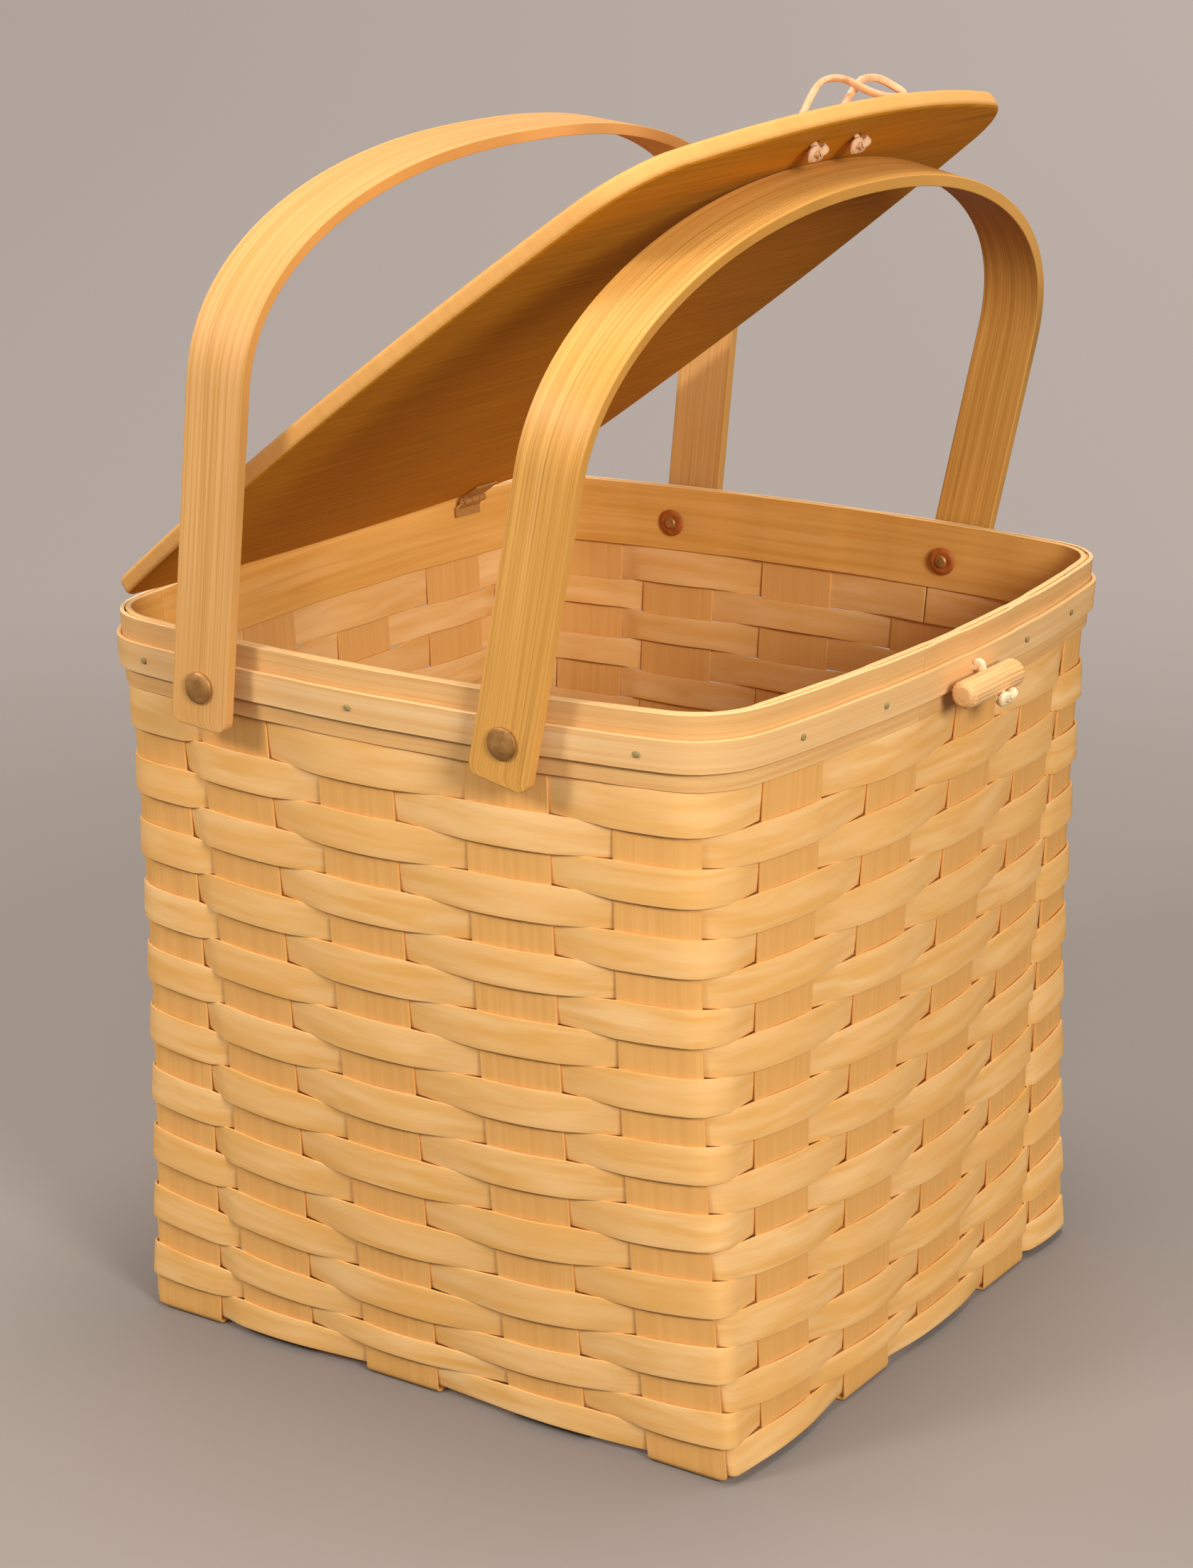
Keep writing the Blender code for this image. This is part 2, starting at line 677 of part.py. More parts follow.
half_line = lid_outline()
outline = half_line + [(x, -y) for x, y in reversed(half_line[1:-1])]
bm = bmesh.new()
corners = [bm.verts.new((LID_BACK + x, y, LID_CLEAR)) for x, y in outline]
sheet = bm.faces.new(corners)
raised = bmesh.ops.extrude_face_region(bm, geom=[sheet])["geom"]
bmesh.ops.translate(
    bm,
    vec=(0, 0, LID_THICK),
    verts=[v for v in raised if isinstance(v, bmesh.types.BMVert)],
)
lid = from_bmesh("lid", bm, LID_WOOD, LID_PLACE)
eased = lid.modifiers.new("eased edges", "BEVEL")
eased.width = 0.0009
eased.segments = 1
eased.limit_method = "ANGLE"
eased.angle_limit = math.radians(60)

# Hinges: a bent leaf on the inner band, a flat leaf under the lid and a pin, twice
BRASS = ((0.55, 0.38, 0.13), 0.35, 1.0)
KNUCKLE = 0.0015
PIN = 0.0007
LEAF_THICK = 0.0008
LEAF_LENGTH = 0.009
THIRD = 0.0022
for label, centre in (("near", -HINGE_Y), ("far", HINGE_Y)):
    rows = []
    for z, out in ((-0.0062, 0), (-0.0030, 0), (-0.0008, None)):
        row_points = []
        for share in (-1, 0, 1):
            y = centre + share * HINGE_HALF
            if out is None:
                row_points.append(Vector((LID_AXIS.x - 0.0007, y, LID_AXIS.z + z)))
            else:
                x = -band_x(y, LID_AXIS.z + z, RIM_IN - GAP - LEAF_THICK / 2)
                row_points.append(Vector((x, y, LID_AXIS.z + z)))
        rows.append(row_points)
    leaf = strip(f"hinge_{label}_rim_leaf", rows, LEAF_THICK, BRASS)
    axis = Vector((LID_AXIS.x, centre, LID_AXIS.z))
    along = Vector((0, 1, 0))
    for side in (-1, 1):
        start = axis + along * side * (THIRD + GAP)
        end = axis + along * side * HINGE_HALF
        combine(leaf, rod(f"{label}_outer_knuckle_{side + 1}", start, end, KNUCKLE), "UNION")
    clear = along * (THIRD + GAP)
    room = rod(f"{label}_knuckle_room", axis - clear, axis + clear, KNUCKLE + 2 * GAP)
    combine(leaf, room, "DIFFERENCE")
    bore = rod(f"{label}_rim_bore", axis - along * 0.02, axis + along * 0.02, PIN + 0.0002)
    combine(leaf, bore, "DIFFERENCE")
    here = LID_PLACE @ Matrix.Translation((0, centre, 0))
    low_z = LID_CLEAR - GAP - LEAF_THICK
    flat_leaf = box(
        f"hinge_{label}_lid_leaf",
        (-0.0002, -HINGE_HALF, low_z),
        (LEAF_LENGTH, HINGE_HALF, low_z + LEAF_THICK),
        BRASS,
        here,
    )
    knuckle = rod(f"{label}_middle_knuckle", -along * THIRD, along * THIRD, KNUCKLE, place=here)
    combine(flat_leaf, knuckle, "UNION")
    for side in (-1, 1):
        clear = rod(
            f"{label}_outer_room_{side + 1}",
            along * side * (THIRD + GAP / 3),
            along * side * (HINGE_HALF + 0.001),
            KNUCKLE + 2 * GAP,
            place=here,
        )
        combine(flat_leaf, clear, "DIFFERENCE")
    bore = rod(f"{label}_lid_bore", -along * 0.02, along * 0.02, PIN + 0.0002, place=here)
    combine(flat_leaf, bore, "DIFFERENCE")
    rod(
        f"hinge_{label}_pin",
        axis - along * (HINGE_HALF + 0.0004),
        axis + along * (HINGE_HALF + 0.0004),
        PIN,
        BRASS,
        helper=False,
    )

# Leather loop on the lid: up through one hole, over itself and back down the other, a knot under each
LEATHER = ((0.85, 0.58, 0.38), 0.7, 0.0)
HOLE_X = 0.2542 * SCALE_X
loop_line = (
    (0, -20.2, -2.3), (0, -20.2, -1.7), (0, -20.2, 0.2), (0, -20.2, 1.3), (0, -20.2, 3.0), (0, -20.2, 8.6),
    (0.3, -18.6, 11.0), (0.8, -14.9, 13.6), (1.1, -7.5, 17.4), (1.4, 0.7, 21.0), (1.5, 7.0, 22.0),
    (1.5, 12.8, 21.8), (1.5, 18.5, 20.2), (1.5, 24.8, 16.5), (1.5, 29.5, 14.4), (1.4, 34.6, 13.0),
    (1.2, 40.0, 12.2), (0.9, 45.2, 12.0), (0.3, 49.0, 12.8), (-0.8, 50.6, 14.6), (-1.7, 49.6, 17.2),
    (-2.1, 46.0, 20.2), (-2.3, 40.9, 21.8), (-2.4, 34.0, 21.6), (-2.4, 26.7, 19.0), (-2.3, 21.0, 16.8),
    (-2.0, 16.0, 14.8), (-1.2, 11.2, 12.6), (-0.4, 7.6, 10.6), (0, 6.3, 8.6),
    (0, 6.3, 3.0), (0, 6.3, 1.3), (0, 6.3, 0.2), (0, 6.3, -1.7), (0, 6.3, -2.3),
)
loop_points = [Vector((HOLE_X + x / 1000, y / 1000, z / 1000)) for x, y, z in loop_line]
last = len(loop_points) - 1
knots = {0: 1.4, 1: 2.1, 2: 2.1, 3: 1.1, last - 3: 1.1, last - 2: 2.1, last - 1: 2.1, last: 1.4}
tube("loop_lace", loop_points, LACE / 2, knots, LEATHER, LID_PLACE)
for number, y in enumerate((-0.0202, 0.0063), 1):
    start = (HOLE_X, y, -0.002)
    end = (HOLE_X, y, 0.012)
    combine(lid, rod(f"loop_hole_{number}", start, end, LACE / 2 + 0.0004, place=LID_PLACE), "DIFFERENCE")

# Toggle: a peg tied to the rim by a lace. Its origin is the hole in the rim that it swings about
PEG_WOOD = ((0.66, 0.40, 0.15), 0.5, 0.0)
HOLE = Vector((0, 0.0065, BASKET_HEIGHT - 0.0125))
RIM_X = wall_x(HOLE.y, HOLE.z, RIM_OUT)
HOLE.x = RIM_X
PEG_X = RIM_X + 0.0064
PEG_Z = BASKET_HEIGHT - 0.017
place = Matrix.Translation(HOLE)
middle = Vector((PEG_X, 0.005, PEG_Z)) - HOLE
along = Vector((0, PEG_LENGTH / 2, 0))
peg = rod("toggle_peg", middle - along, middle + along, PEG_DIAMETER / 2, PEG_WOOD, place, 16, False)
chamfer = peg.modifiers.new("eased ends", "BEVEL")
chamfer.width = 0.0011
chamfer.segments = 1
chamfer.limit_method = "ANGLE"
chamfer.angle_limit = math.radians(60)
lift = Vector((0, 0, 0.02))
through = Vector((middle.x, 0, middle.z))
combine(peg, rod("peg_hole", through - lift, through + lift, LACE / 2 + 0.0006, place=place), "DIFFERENCE")
inside_x = wall_x(HOLE.y, HOLE.z, RIM_IN) - RIM_X
up = PEG_DIAMETER / 2
toggle_line = (
    (inside_x - 0.0050, 0),
    (inside_x - 0.0044, 0),
    (inside_x - 0.0020, 0),
    (inside_x - 0.0004, 0),
    (0.0004, 0),
    (middle.x - 0.0038, middle.z + up + 0.0008),
    (middle.x - 0.0016, middle.z + up + 0.0023),
    (middle.x - 0.0003, middle.z + up + 0.0021),
    (middle.x, middle.z + up + 0.0008),
    (middle.x, middle.z - up - 0.0006),
    (middle.x, middle.z - up - 0.0020),
    (middle.x, middle.z - up - 0.0042),
    (middle.x, middle.z - up - 0.0050),
)
toggle_points = [Vector((x, 0, z)) for x, z in toggle_line]
knots = {0: 1.3, 1: 2.0, 2: 2.1, 3: 1.0, 9: 1.0, 10: 2.1, 11: 2.0, 12: 1.2}
tube("toggle_lace", toggle_points, LACE / 2, knots, LEATHER, place)
inner_end = HOLE + Vector((inside_x - 0.003, 0, 0))
drill = rod("lace_drill", inner_end, HOLE + Vector((0.002, 0, 0)), LACE / 2 + 0.0004)
for band in (inner_band, outer_band, nailed_band):
    combine(band, drill, "DIFFERENCE")
notch = rod("splint_notch", inner_end, HOLE + Vector((0.002, 0, 0)), 0.0032)
combine(uprights["x", 3], notch, "DIFFERENCE")
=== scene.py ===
import math
import random

import bmesh
import bpy
from mathutils import Matrix, Vector


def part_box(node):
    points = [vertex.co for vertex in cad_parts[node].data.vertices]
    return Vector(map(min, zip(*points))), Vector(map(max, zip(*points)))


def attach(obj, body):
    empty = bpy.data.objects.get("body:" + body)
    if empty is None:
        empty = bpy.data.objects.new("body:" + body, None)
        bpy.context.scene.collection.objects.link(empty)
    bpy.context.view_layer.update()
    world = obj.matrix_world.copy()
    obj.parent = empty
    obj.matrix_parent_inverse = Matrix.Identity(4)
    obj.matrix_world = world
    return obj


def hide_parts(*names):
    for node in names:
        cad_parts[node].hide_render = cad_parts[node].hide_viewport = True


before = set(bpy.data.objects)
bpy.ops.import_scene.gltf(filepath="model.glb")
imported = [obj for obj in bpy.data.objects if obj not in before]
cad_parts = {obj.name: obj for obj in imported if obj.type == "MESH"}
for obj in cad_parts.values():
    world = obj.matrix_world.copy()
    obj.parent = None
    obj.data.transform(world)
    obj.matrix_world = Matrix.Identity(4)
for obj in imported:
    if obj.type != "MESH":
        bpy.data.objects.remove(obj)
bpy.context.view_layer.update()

scene = bpy.context.scene

# The camera stands where the photo was taken from: to the right of the front, a little above the
# rim, with a long lens.
LENS = 78.41
CAMERA_PLACE = Vector((0.6163, -0.9440, 0.5322))
CAMERA_RIGHT = Vector((0.8335, 0.5525, -0.0008))
CAMERA_BACK = Vector((0.5278, -0.7959, 0.2967))
camera = bpy.data.objects.new("camera", bpy.data.cameras.new("camera"))
scene.collection.objects.link(camera)
camera.data.lens = LENS
camera.data.sensor_width = 36
turn = Matrix((CAMERA_RIGHT, CAMERA_BACK.cross(CAMERA_RIGHT), CAMERA_BACK)).transposed().to_4x4()
camera.matrix_world = Matrix.Translation(CAMERA_PLACE) @ turn
scene.camera = camera

# The uprights are ten thin ash splints, split along the grain and 29.5 mm wide. They are woven
# into the flat base first, then bent up at its edge to become the ribs of all four walls.
HEIGHT = 0.255
BASE_X = 0.2421
BASE_Y = 0.2354
SIDE_BOW = 0.0084
SPLINT_WIDTH = 0.0295
SPLINT_THICK = 0.0009
GAP = 0.0003
WEAVE = SPLINT_THICK + GAP
WEAVE_ROOM = 0.0045
RIGHT, BACK, LEFT, FRONT = range(4)
# How the basket widens with the share t of its height: by the first times t and the second
# times t squared
X_TAPER = (-0.1584, 0.1613)
Y_TAPER = (0.0890, 0.0282)
BASE_CORNER = 0.004
CORNER_GROWTH = 0.0215
CORNER_LIMIT = 0.975
# Where the uprights run, as shares of the way from the middle of a side to its corner
NEAR_CORNER = 0.8
FRONT_BACK_SPLINTS = (-0.865, -0.527, -0.088, 0.405, 0.850)
LEFT_RIGHT_SPLINTS = (-0.720, -0.276, 0.157, 0.580, 0.885)


def side_shape(z, side):
    """A side at a height: how far out it is, the half length of its bowed part, the angle that it has
    turned through where that ends, the rest of the angle up to the corner's middle, the corner's
    radius and the depth of the bow."""
    t = max(z, 0) / HEIGHT
    half_x = BASE_X / 2 * (1 + X_TAPER[0] * t + X_TAPER[1] * t * t)
    half_y = BASE_Y / 2 * (1 + Y_TAPER[0] * t + Y_TAPER[1] * t * t)
    corner = BASE_CORNER + CORNER_GROWTH * t**1.4
    bow = SIDE_BOW * math.sin(math.pi * t / 2)
    turn_x = 0
    turn_y = 0
    for _ in range(5):
        along_y = half_y - corner * math.cos(turn_y) + corner * math.sin(turn_x)
        along_x = half_x - corner * math.cos(turn_x) + corner * math.sin(turn_y)
        turn_x = math.atan(2 * bow / along_y)
        turn_y = math.atan(2 * bow / along_x)
    middle = (turn_x + math.pi / 2 - turn_y) / 2
    if side % 2 == 0:
        return half_x, along_y, turn_x, middle - turn_x, corner, bow
    return half_y, along_x, turn_y, math.pi / 2 - middle - turn_y, corner, bow


def reach(z, side):
    """The length of a side at a height, from its middle to the middle of its corner."""
    _, flat, _, arc, corner, _ = side_shape(z, side)
    return flat + corner * arc


def wall(z, side, s, out):
    """The point s metres along a side from its middle, counter-clockwise, and out metres off the
    basket's surface."""
    depth, flat, turn, _, corner, bow = side_shape(z, side)
    a = abs(s)
    if a <= flat:
        angle = math.atan(2 * bow * a / flat**2)
        d = depth + bow * (1 - (a / flat) ** 2)
        e = a
    else:
        angle = turn + (a - flat) / corner
        d = depth - corner * math.cos(turn) + corner * math.cos(angle)
        e = flat - corner * math.sin(turn) + corner * math.sin(angle)
    d += out * math.cos(angle)
    e = math.copysign(e + out * math.sin(angle), s)
    return Matrix.Rotation(side * math.pi / 2, 3, "Z") @ Vector((d, e, z))


def splints_of(side):
    """(index, share) of the uprights on a side, counter-clockwise."""
    shares = LEFT_RIGHT_SPLINTS if side % 2 == 0 else FRONT_BACK_SPLINTS
    numbered = list(enumerate(shares, 1))
    if side in (BACK, LEFT):
        return [(i, -share) for i, share in reversed(numbered)]
    return numbered


def splint_edges(z, side, share):
    """Where an upright's two edges are along its side, pushed in where the corner leaves less room."""
    full = reach(z, side)
    outer = [abs(s) for _, s in splints_of(side) if s * share > 0 and abs(s) >= abs(share) - 1e-9]
    middle = full + SPLINT_WIDTH
    for s in sorted(outer, reverse=True):
        middle = min(s * full, middle - SPLINT_WIDTH - WEAVE_ROOM)
    middle = math.copysign(middle, share)
    limit = CORNER_LIMIT * full
    return max(middle - SPLINT_WIDTH / 2, -limit), min(middle + SPLINT_WIDTH / 2, limit)


def linked(name, bm):
    """A bmesh as an object in the scene."""
    mesh = bpy.data.meshes.new(name)
    bm.to_mesh(mesh)
    bm.free()
    obj = bpy.data.objects.new(name, mesh)
    scene.collection.objects.link(obj)
    return obj


def strip(name, rows, thick, number, ease=0.00022, rounds=1):
    """A bent strip of wood: a grid laid through rows of points, given its thickness and eased edges.
    Its grain attribute holds metres along the strip, metres across it and the strip's own number."""
    down = len(rows) - 1
    across = len(rows[0]) - 1
    bm = bmesh.new()
    bmesh.ops.create_grid(bm, x_segments=across, y_segments=down, size=1)
    grain = bm.verts.layers.float_vector.new("grain")
    along = [0.0]
    for a, b in zip(rows, rows[1:]):
        along.append(along[-1] + (b[across // 2] - a[across // 2]).length)
    for vert in bm.verts:
        i = round((vert.co.y + 1) / 2 * down)
        j = round((vert.co.x + 1) / 2 * across)
        vert.co = rows[i][j]
        vert[grain] = (along[i], (rows[i][j] - rows[i][0]).length, number)
    for face in bm.faces:
        face.smooth = True
    obj = linked(name, bm)
    solid = obj.modifiers.new("thickness", "SOLIDIFY")
    solid.thickness = thick
    solid.offset = 0
    solid.use_even_offset = True
    solid.use_quality_normals = True
    edge = obj.modifiers.new("eased edges", "BEVEL")
    edge.width = ease
    edge.segments = rounds
    edge.limit_method = "ANGLE"
    edge.angle_limit = math.radians(50)
    flat = obj.modifiers.new("flat faces", "WEIGHTED_NORMAL")
    flat.keep_sharp = True
    return obj


def colour(code):
    """An sRGB hex colour as a linear one."""
    parts = [int(code[i : i + 2], 16) / 255 for i in (1, 3, 5)]
    return (*[p / 12.92 if p <= 0.04045 else ((p + 0.055) / 1.055) ** 2.4 for p in parts], 1)


def add_node(tree, kind, inputs=(), **settings):
    """A node with its settings. Each input takes a value or another node's output."""
    made = tree.nodes.new(kind)
    for name, value in settings.items():
        setattr(made, name, value)
    for socket, value in dict(inputs).items():
        if isinstance(value, bpy.types.NodeSocket):
            tree.links.new(value, made.inputs[socket])
        else:
            made.inputs[socket].default_value = value
    return made


def new_material(name, settings):
    """A material, its node tree, and its surface shader with some settings."""
    mat = bpy.data.materials.new(name)
    mat.use_nodes = True
    shader = mat.node_tree.nodes["Principled BSDF"]
    for socket, value in settings.items():
        shader.inputs[socket].default_value = value
    return mat, mat.node_tree, shader


def split_wood(
    name, tones, streak, veins, clouds, rough=0.5, relief=0.1, tint=0.0, painted_highlight=1.0, shine=0.25
):
    """Wood that follows its strip, in a pale, a deep and a dark tone. streak is the (length, width) of
    a growth ring's line in millimetres, veins how strongly its dark pores show, clouds the soft
    patches, tint how much pieces differ, and crest the width in metres at which a painted highlight
    turns the strip's upper edge pale."""
    pale, deep, dark = (colour(tone) for tone in tones)
    mat, tree, shader = new_material(name, {"Roughness": rough, "Specular IOR Level": shine})
    grain = add_node(tree, "ShaderNodeAttribute", attribute_name="grain").outputs["Vector"]

    def streaks(length, width, detail, distortion=0.0):
        """Streaks of a length and a width in millimetres, different for each strip."""
        scale = (1000 / length, 1000 / width, 7.3)
        place = add_node(tree, "ShaderNodeMapping", {"Vector": grain, "Scale": scale}).outputs[0]
        inputs = {"Vector": place, "Scale": 1.0, "Detail": detail, "Distortion": distortion}
        return add_node(tree, "ShaderNodeTexNoise", inputs).outputs["Fac"]

    length, width = streak
    parts = add_node(tree, "ShaderNodeSeparateXYZ", {0: grain}).outputs
    number = {"W": parts["Z"]}
    chance = add_node(tree, "ShaderNodeTexWhiteNoise", number, noise_dimensions="1D").outputs["Value"]
    wood = pale
    # Rings, pores, patches, the strip's own tint and a painted highlight on its upper edge, each laid over
    # the last
    for pattern, low, high, most, tone in (
        (streaks(length, width * 2.4, 3.0, 0.4), 0.36, 0.66, 1.0, deep),
        (streaks(length * 0.45, width, 2.0), 0.52, 0.74, veins, dark),
        (streaks(70, 17, 2.0, 0.6), 0.35, 0.7, clouds, deep),
        (chance, 0.0, 1.0, tint, deep),
        # A painted highlight: pale cream along the strip's upper edge
        (parts["Y"], painted_highlight - 0.00012, painted_highlight - 0.00002, 0.4, colour("#F4D8A8")),
    ):
        inputs = {"Value": pattern, "From Min": low, "From Max": high, "To Max": most}
        share = add_node(tree, "ShaderNodeMapRange", inputs).outputs[0]
        layer = {0: share, 6: wood, 7: tone}
        wood = add_node(tree, "ShaderNodeMix", layer, data_type="RGBA").outputs[2]
    tree.links.new(wood, shader.inputs["Base Color"])
    fibre = streaks(length * 0.3, max(width * 0.5, 0.35), 3.0)
    bump = add_node(tree, "ShaderNodeBump", {"Strength": relief, "Distance": 0.0004, "Height": fibre})
    tree.links.new(bump.outputs[0], shader.inputs["Normal"])
    return mat


# Split ash, left unfinished: a warm honey face with straight grain that shows as fine lines
ash_upright = split_wood(
    "split_ash_upright", ("#E3AC64", "#DBA15A", "#C08A4C"), (90, 0.9),
    veins=0.05, clouds=0.35, rough=0.55, tint=0.3,
)

BASE_MARGIN = 0.0065
# The rows of points where an upright turns up from the base: how far inside the wall, how far up
BASE_BEND = ((0.0030, 0), (0.0015, 0), (0.00035, 0.00045))
BEND_TOP = 0.00165
# The heights of the rows up the wall, as lowest, highest and number of steps
LOW_ROWS = (0.0042, 0.0546, 12)
HIGH_ROWS = (0.0588, HEIGHT - 0.0004, 36)
# On the base: the length of the slope between two crossings, and how far it stays off their edges
SLANT = 0.008
EDGE_CLEAR = 0.0008


def base_edges(side, share):
    """Where an upright's two edges cross the base."""
    half = (BASE_X if side % 2 else BASE_Y) / 2 - BASE_MARGIN
    return [max(-half, min(half, s)) for s in splint_edges(0, side, share)]


def spread(low, high, count):
    """count equal steps from low to high, as count + 1 values."""
    return [low + (high - low) * i / count for i in range(count + 1)]


def upright(name, index, share, near_side, crossing_side, number):
    """One splint up a wall, woven across the base and up the wall opposite."""
    far_side = (near_side + 2) % 4
    half = (BASE_Y if near_side % 2 else BASE_X) / 2 - WEAVE
    columns = 8 if abs(share) > NEAR_CORNER else 4
    flat = spread(*base_edges(near_side, share), columns)
    crossing = splints_of(crossing_side)
    above = 1 if near_side == LEFT else 0
    low = SPLINT_THICK / 2
    levels = [low + WEAVE * ((index + other + above) % 2) for other, _ in crossing]

    def climb(side, sign, level):
        """Rows of points from the base, at a level, round its edge and up a wall."""
        rows = [[(sign * (half - inward), level + up, s) for s in flat] for inward, up in BASE_BEND]
        for z in [level + BEND_TOP] + spread(*LOW_ROWS) + spread(*HIGH_ROWS):
            found = spread(*splint_edges(z, side, share if side == near_side else -share), columns)
            points = [wall(z, side, s, -WEAVE) for s in found]
            if side != near_side:
                points.reverse()
            rows.append(points)
        return rows

    edges = [base_edges(crossing_side, s) for _, s in crossing]
    middle = []
    for i, level in enumerate(levels):
        if i:
            start = min(middle[-1][0][0] + SLANT, edges[i][0] - EDGE_CLEAR)
            middle.append([(start, level, s) for s in flat])
        if i < len(levels) - 1:
            middle.append([(edges[i][1] + EDGE_CLEAR, level, s) for s in flat])

    def placed(row):
        """A row of the wall as it is, and one of the base from (distance along, height, place across)."""
        if isinstance(row[0], Vector):
            return row
        if near_side == FRONT:
            return [Vector((s, d, z)) for d, z, s in row]
        return [Vector((d, -s, z)) for d, z, s in row]

    rows = list(reversed(climb(near_side, -1, levels[0]))) + middle + climb(far_side, 1, levels[-1])
    piece = strip(name, [placed(row) for row in rows], SPLINT_THICK, number)
    piece.data.materials.append(ash_upright)
    return piece


for i in range(5):
    for kind, share, near, crossed in (
        ("front_back", FRONT_BACK_SPLINTS[i], FRONT, RIGHT),
        ("left_right", -LEFT_RIGHT_SPLINTS[i], LEFT, FRONT),
    ):
        number = i + 1 + (5 if near == LEFT else 0)
        piece = upright(f"ash_upright_{kind}_{i + 1}", i + 1, share, near, crossed, number)
        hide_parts(f"upright_{kind}_{i + 1}")
        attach(piece, "basket")

# The weavers are twenty separate hoops of 11 mm ash splint, passed over one upright and behind
# the next. Dried in place, each stands off the upright that it crosses, most of all at a corner.
ROWS = 20
PITCH = 0.0113
ROW_HALF = 0.0057
FIRST_ROW = 0.00795
WEAVE_START = 0.0029
TOP_EDGE = HEIGHT - 0.0244
FRONT_SAG = 0.0083
SIDE_SAG = 0.0105
# How far a weaver's middle lies from an upright's, and how much further it bulges half-way across one
TIGHT = 0.00098
BULGE = 0.0006
CORNER_BULGE = 0.0008
# In front of an upright, what a weaver gains in half height and leans by; its cup across its height;
# how unevenly it lies; and how far its ends stop short of each other, as shares of an upright's width
OVERLAP = 0.00055
LEAN = 0.00032
CUP = 0.00012
UNEVEN = 0.00012
JOINT_GAP = 0.01
# The same ash, shaved thinner: paler, with softer and broader figure along each hoop
ash_weaver = split_wood(
    "split_ash_weaver", ("#EFC286", "#E1A95E", "#C48E4E"), (36, 1.9),
    veins=0.06, clouds=0.5, relief=0.08, tint=0.4,
)


def sag(z, side, s):
    """How far the weave at a height lies below its height at the corners. It hangs most a little above
    the base, and not at all from 84 % of the height up."""
    most = SIDE_SAG if side % 2 == 0 else FRONT_SAG
    rise = 1 - math.exp(-(((z - WEAVE_START) / (0.084 * HEIGHT)) ** 2))
    fade = max(0, 1 - z / (0.843 * HEIGHT))
    share = s / reach(z, side)
    return most * 1.28 * rise * fade * max(0, 1 - share * share) ** 1.2


def crossings(z):
    """The uprights in order, counter-clockwise from the right side, as
    (side, low edge, high edge, index, share)."""
    found = []
    for side in range(4):
        for index, share in splints_of(side):
            low, high = splint_edges(z, side, share)
            found.append((side, low, high, index, share))
    return found


def weaver_rows(row, dice):
    """Rows of points round the basket, each over the splint's height. The hoop starts and ends behind
    an upright of the far wall, where its joint is out of sight."""
    centre_z = FIRST_ROW + row * PITCH
    stops = crossings(centre_z)
    signs = [1 if (index + side + row) % 2 else -1 for side, _, _, index, _ in stops]
    first = next(k for k in range(5, 10) if signs[k] < 0)
    stands = []
    for *_, share in stops:
        stands.append((CORNER_BULGE if abs(share) > NEAR_CORNER else BULGE) * dice.uniform(0.7, 1.3))
    drops = [dice.uniform(-UNEVEN, UNEVEN) for _ in stops]
    across = (-1, -0.6, 0, 0.6, 1)
    rows = []

    def lay(where, off, drop):
        """Adds one row of points. where(z) gives the (side, distance) at a height, off the way out."""
        points = []
        level = max(-1, min(1, off / TIGHT))
        for v in across:
            z = centre_z + v * (ROW_HALF + OVERLAP * level) + drop
            if row == ROWS - 1:
                short = TOP_EDGE - centre_z - ROW_HALF - OVERLAP * level - drop
                z += short * (v + 1) / 2
            z = max(z, WEAVE_START)
            z -= sag(z, *where(z))
            side, s = where(z)
            tilt = -v * LEAN * level
            points.append(wall(z, side, s, -WEAVE + off + tilt - CUP * v * v))
        rows.append(points)

    count = len(stops)
    for k in range(count + 1):
        n = (first + k) % count
        side, low, high, _, share = stops[n]
        sign = signs[n]
        width = high - low
        starts = 0.5 if k == 0 else 0
        ends = 0.5 if k == count else 1
        steps = 8
        for i in range(steps + 1):
            u = starts + (ends - starts) * i / steps
            if (k == 0 and i == 0) or (k == count and i == steps):
                u += JOINT_GAP if k == 0 else -JOINT_GAP
            rise = 4 * u * (1 - u)

            def over(z):
                a, b = splint_edges(z, side, share)
                return side, a + (b - a) * u

            lay(over, sign * (TIGHT + stands[n] * rise), drops[n] * rise)
        if k == count:
            break
        m = (n + 1) % count
        next_side, next_low, next_high, _, next_share = stops[m]
        turns_corner = next_side != side
        if turns_corner:
            gap = reach(centre_z, side) - high + reach(centre_z, next_side) + next_low
        else:
            gap = next_low - high
        slope_a = -sign * 4 * stands[n] / width
        slope_b = signs[m] * 4 * stands[m] / (next_high - next_low)
        steps = 10 if turns_corner else 5
        for i in range(1, steps):
            t = i / steps
            off = (2 * t**3 - 3 * t**2 + 1) * sign * TIGHT + (t**3 - 2 * t**2 + t) * gap * slope_a
            off += (3 * t**2 - 2 * t**3) * signs[m] * TIGHT + (t**3 - t**2) * gap * slope_b

            def between(z):
                start = splint_edges(z, side, share)[1]
                end = splint_edges(z, next_side, next_share)[0]
                if next_side == side:
                    return side, start + (end - start) * t
                before = reach(z, side) - start
                after = reach(z, next_side) + end
                d = t * (before + after)
                if d <= before:
                    return side, start + d
                return next_side, -reach(z, next_side) + d - before

            lay(between, off, 0)
    return rows


for row in range(ROWS):
    dice = random.Random(300 + row)
    piece = strip(f"ash_weaver_{row + 1:02d}", weaver_rows(row, dice), SPLINT_THICK, 20 + row)
    piece.data.materials.append(ash_weaver)
    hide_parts(f"weaver_{row + 1:02d}")
    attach(piece, "basket")

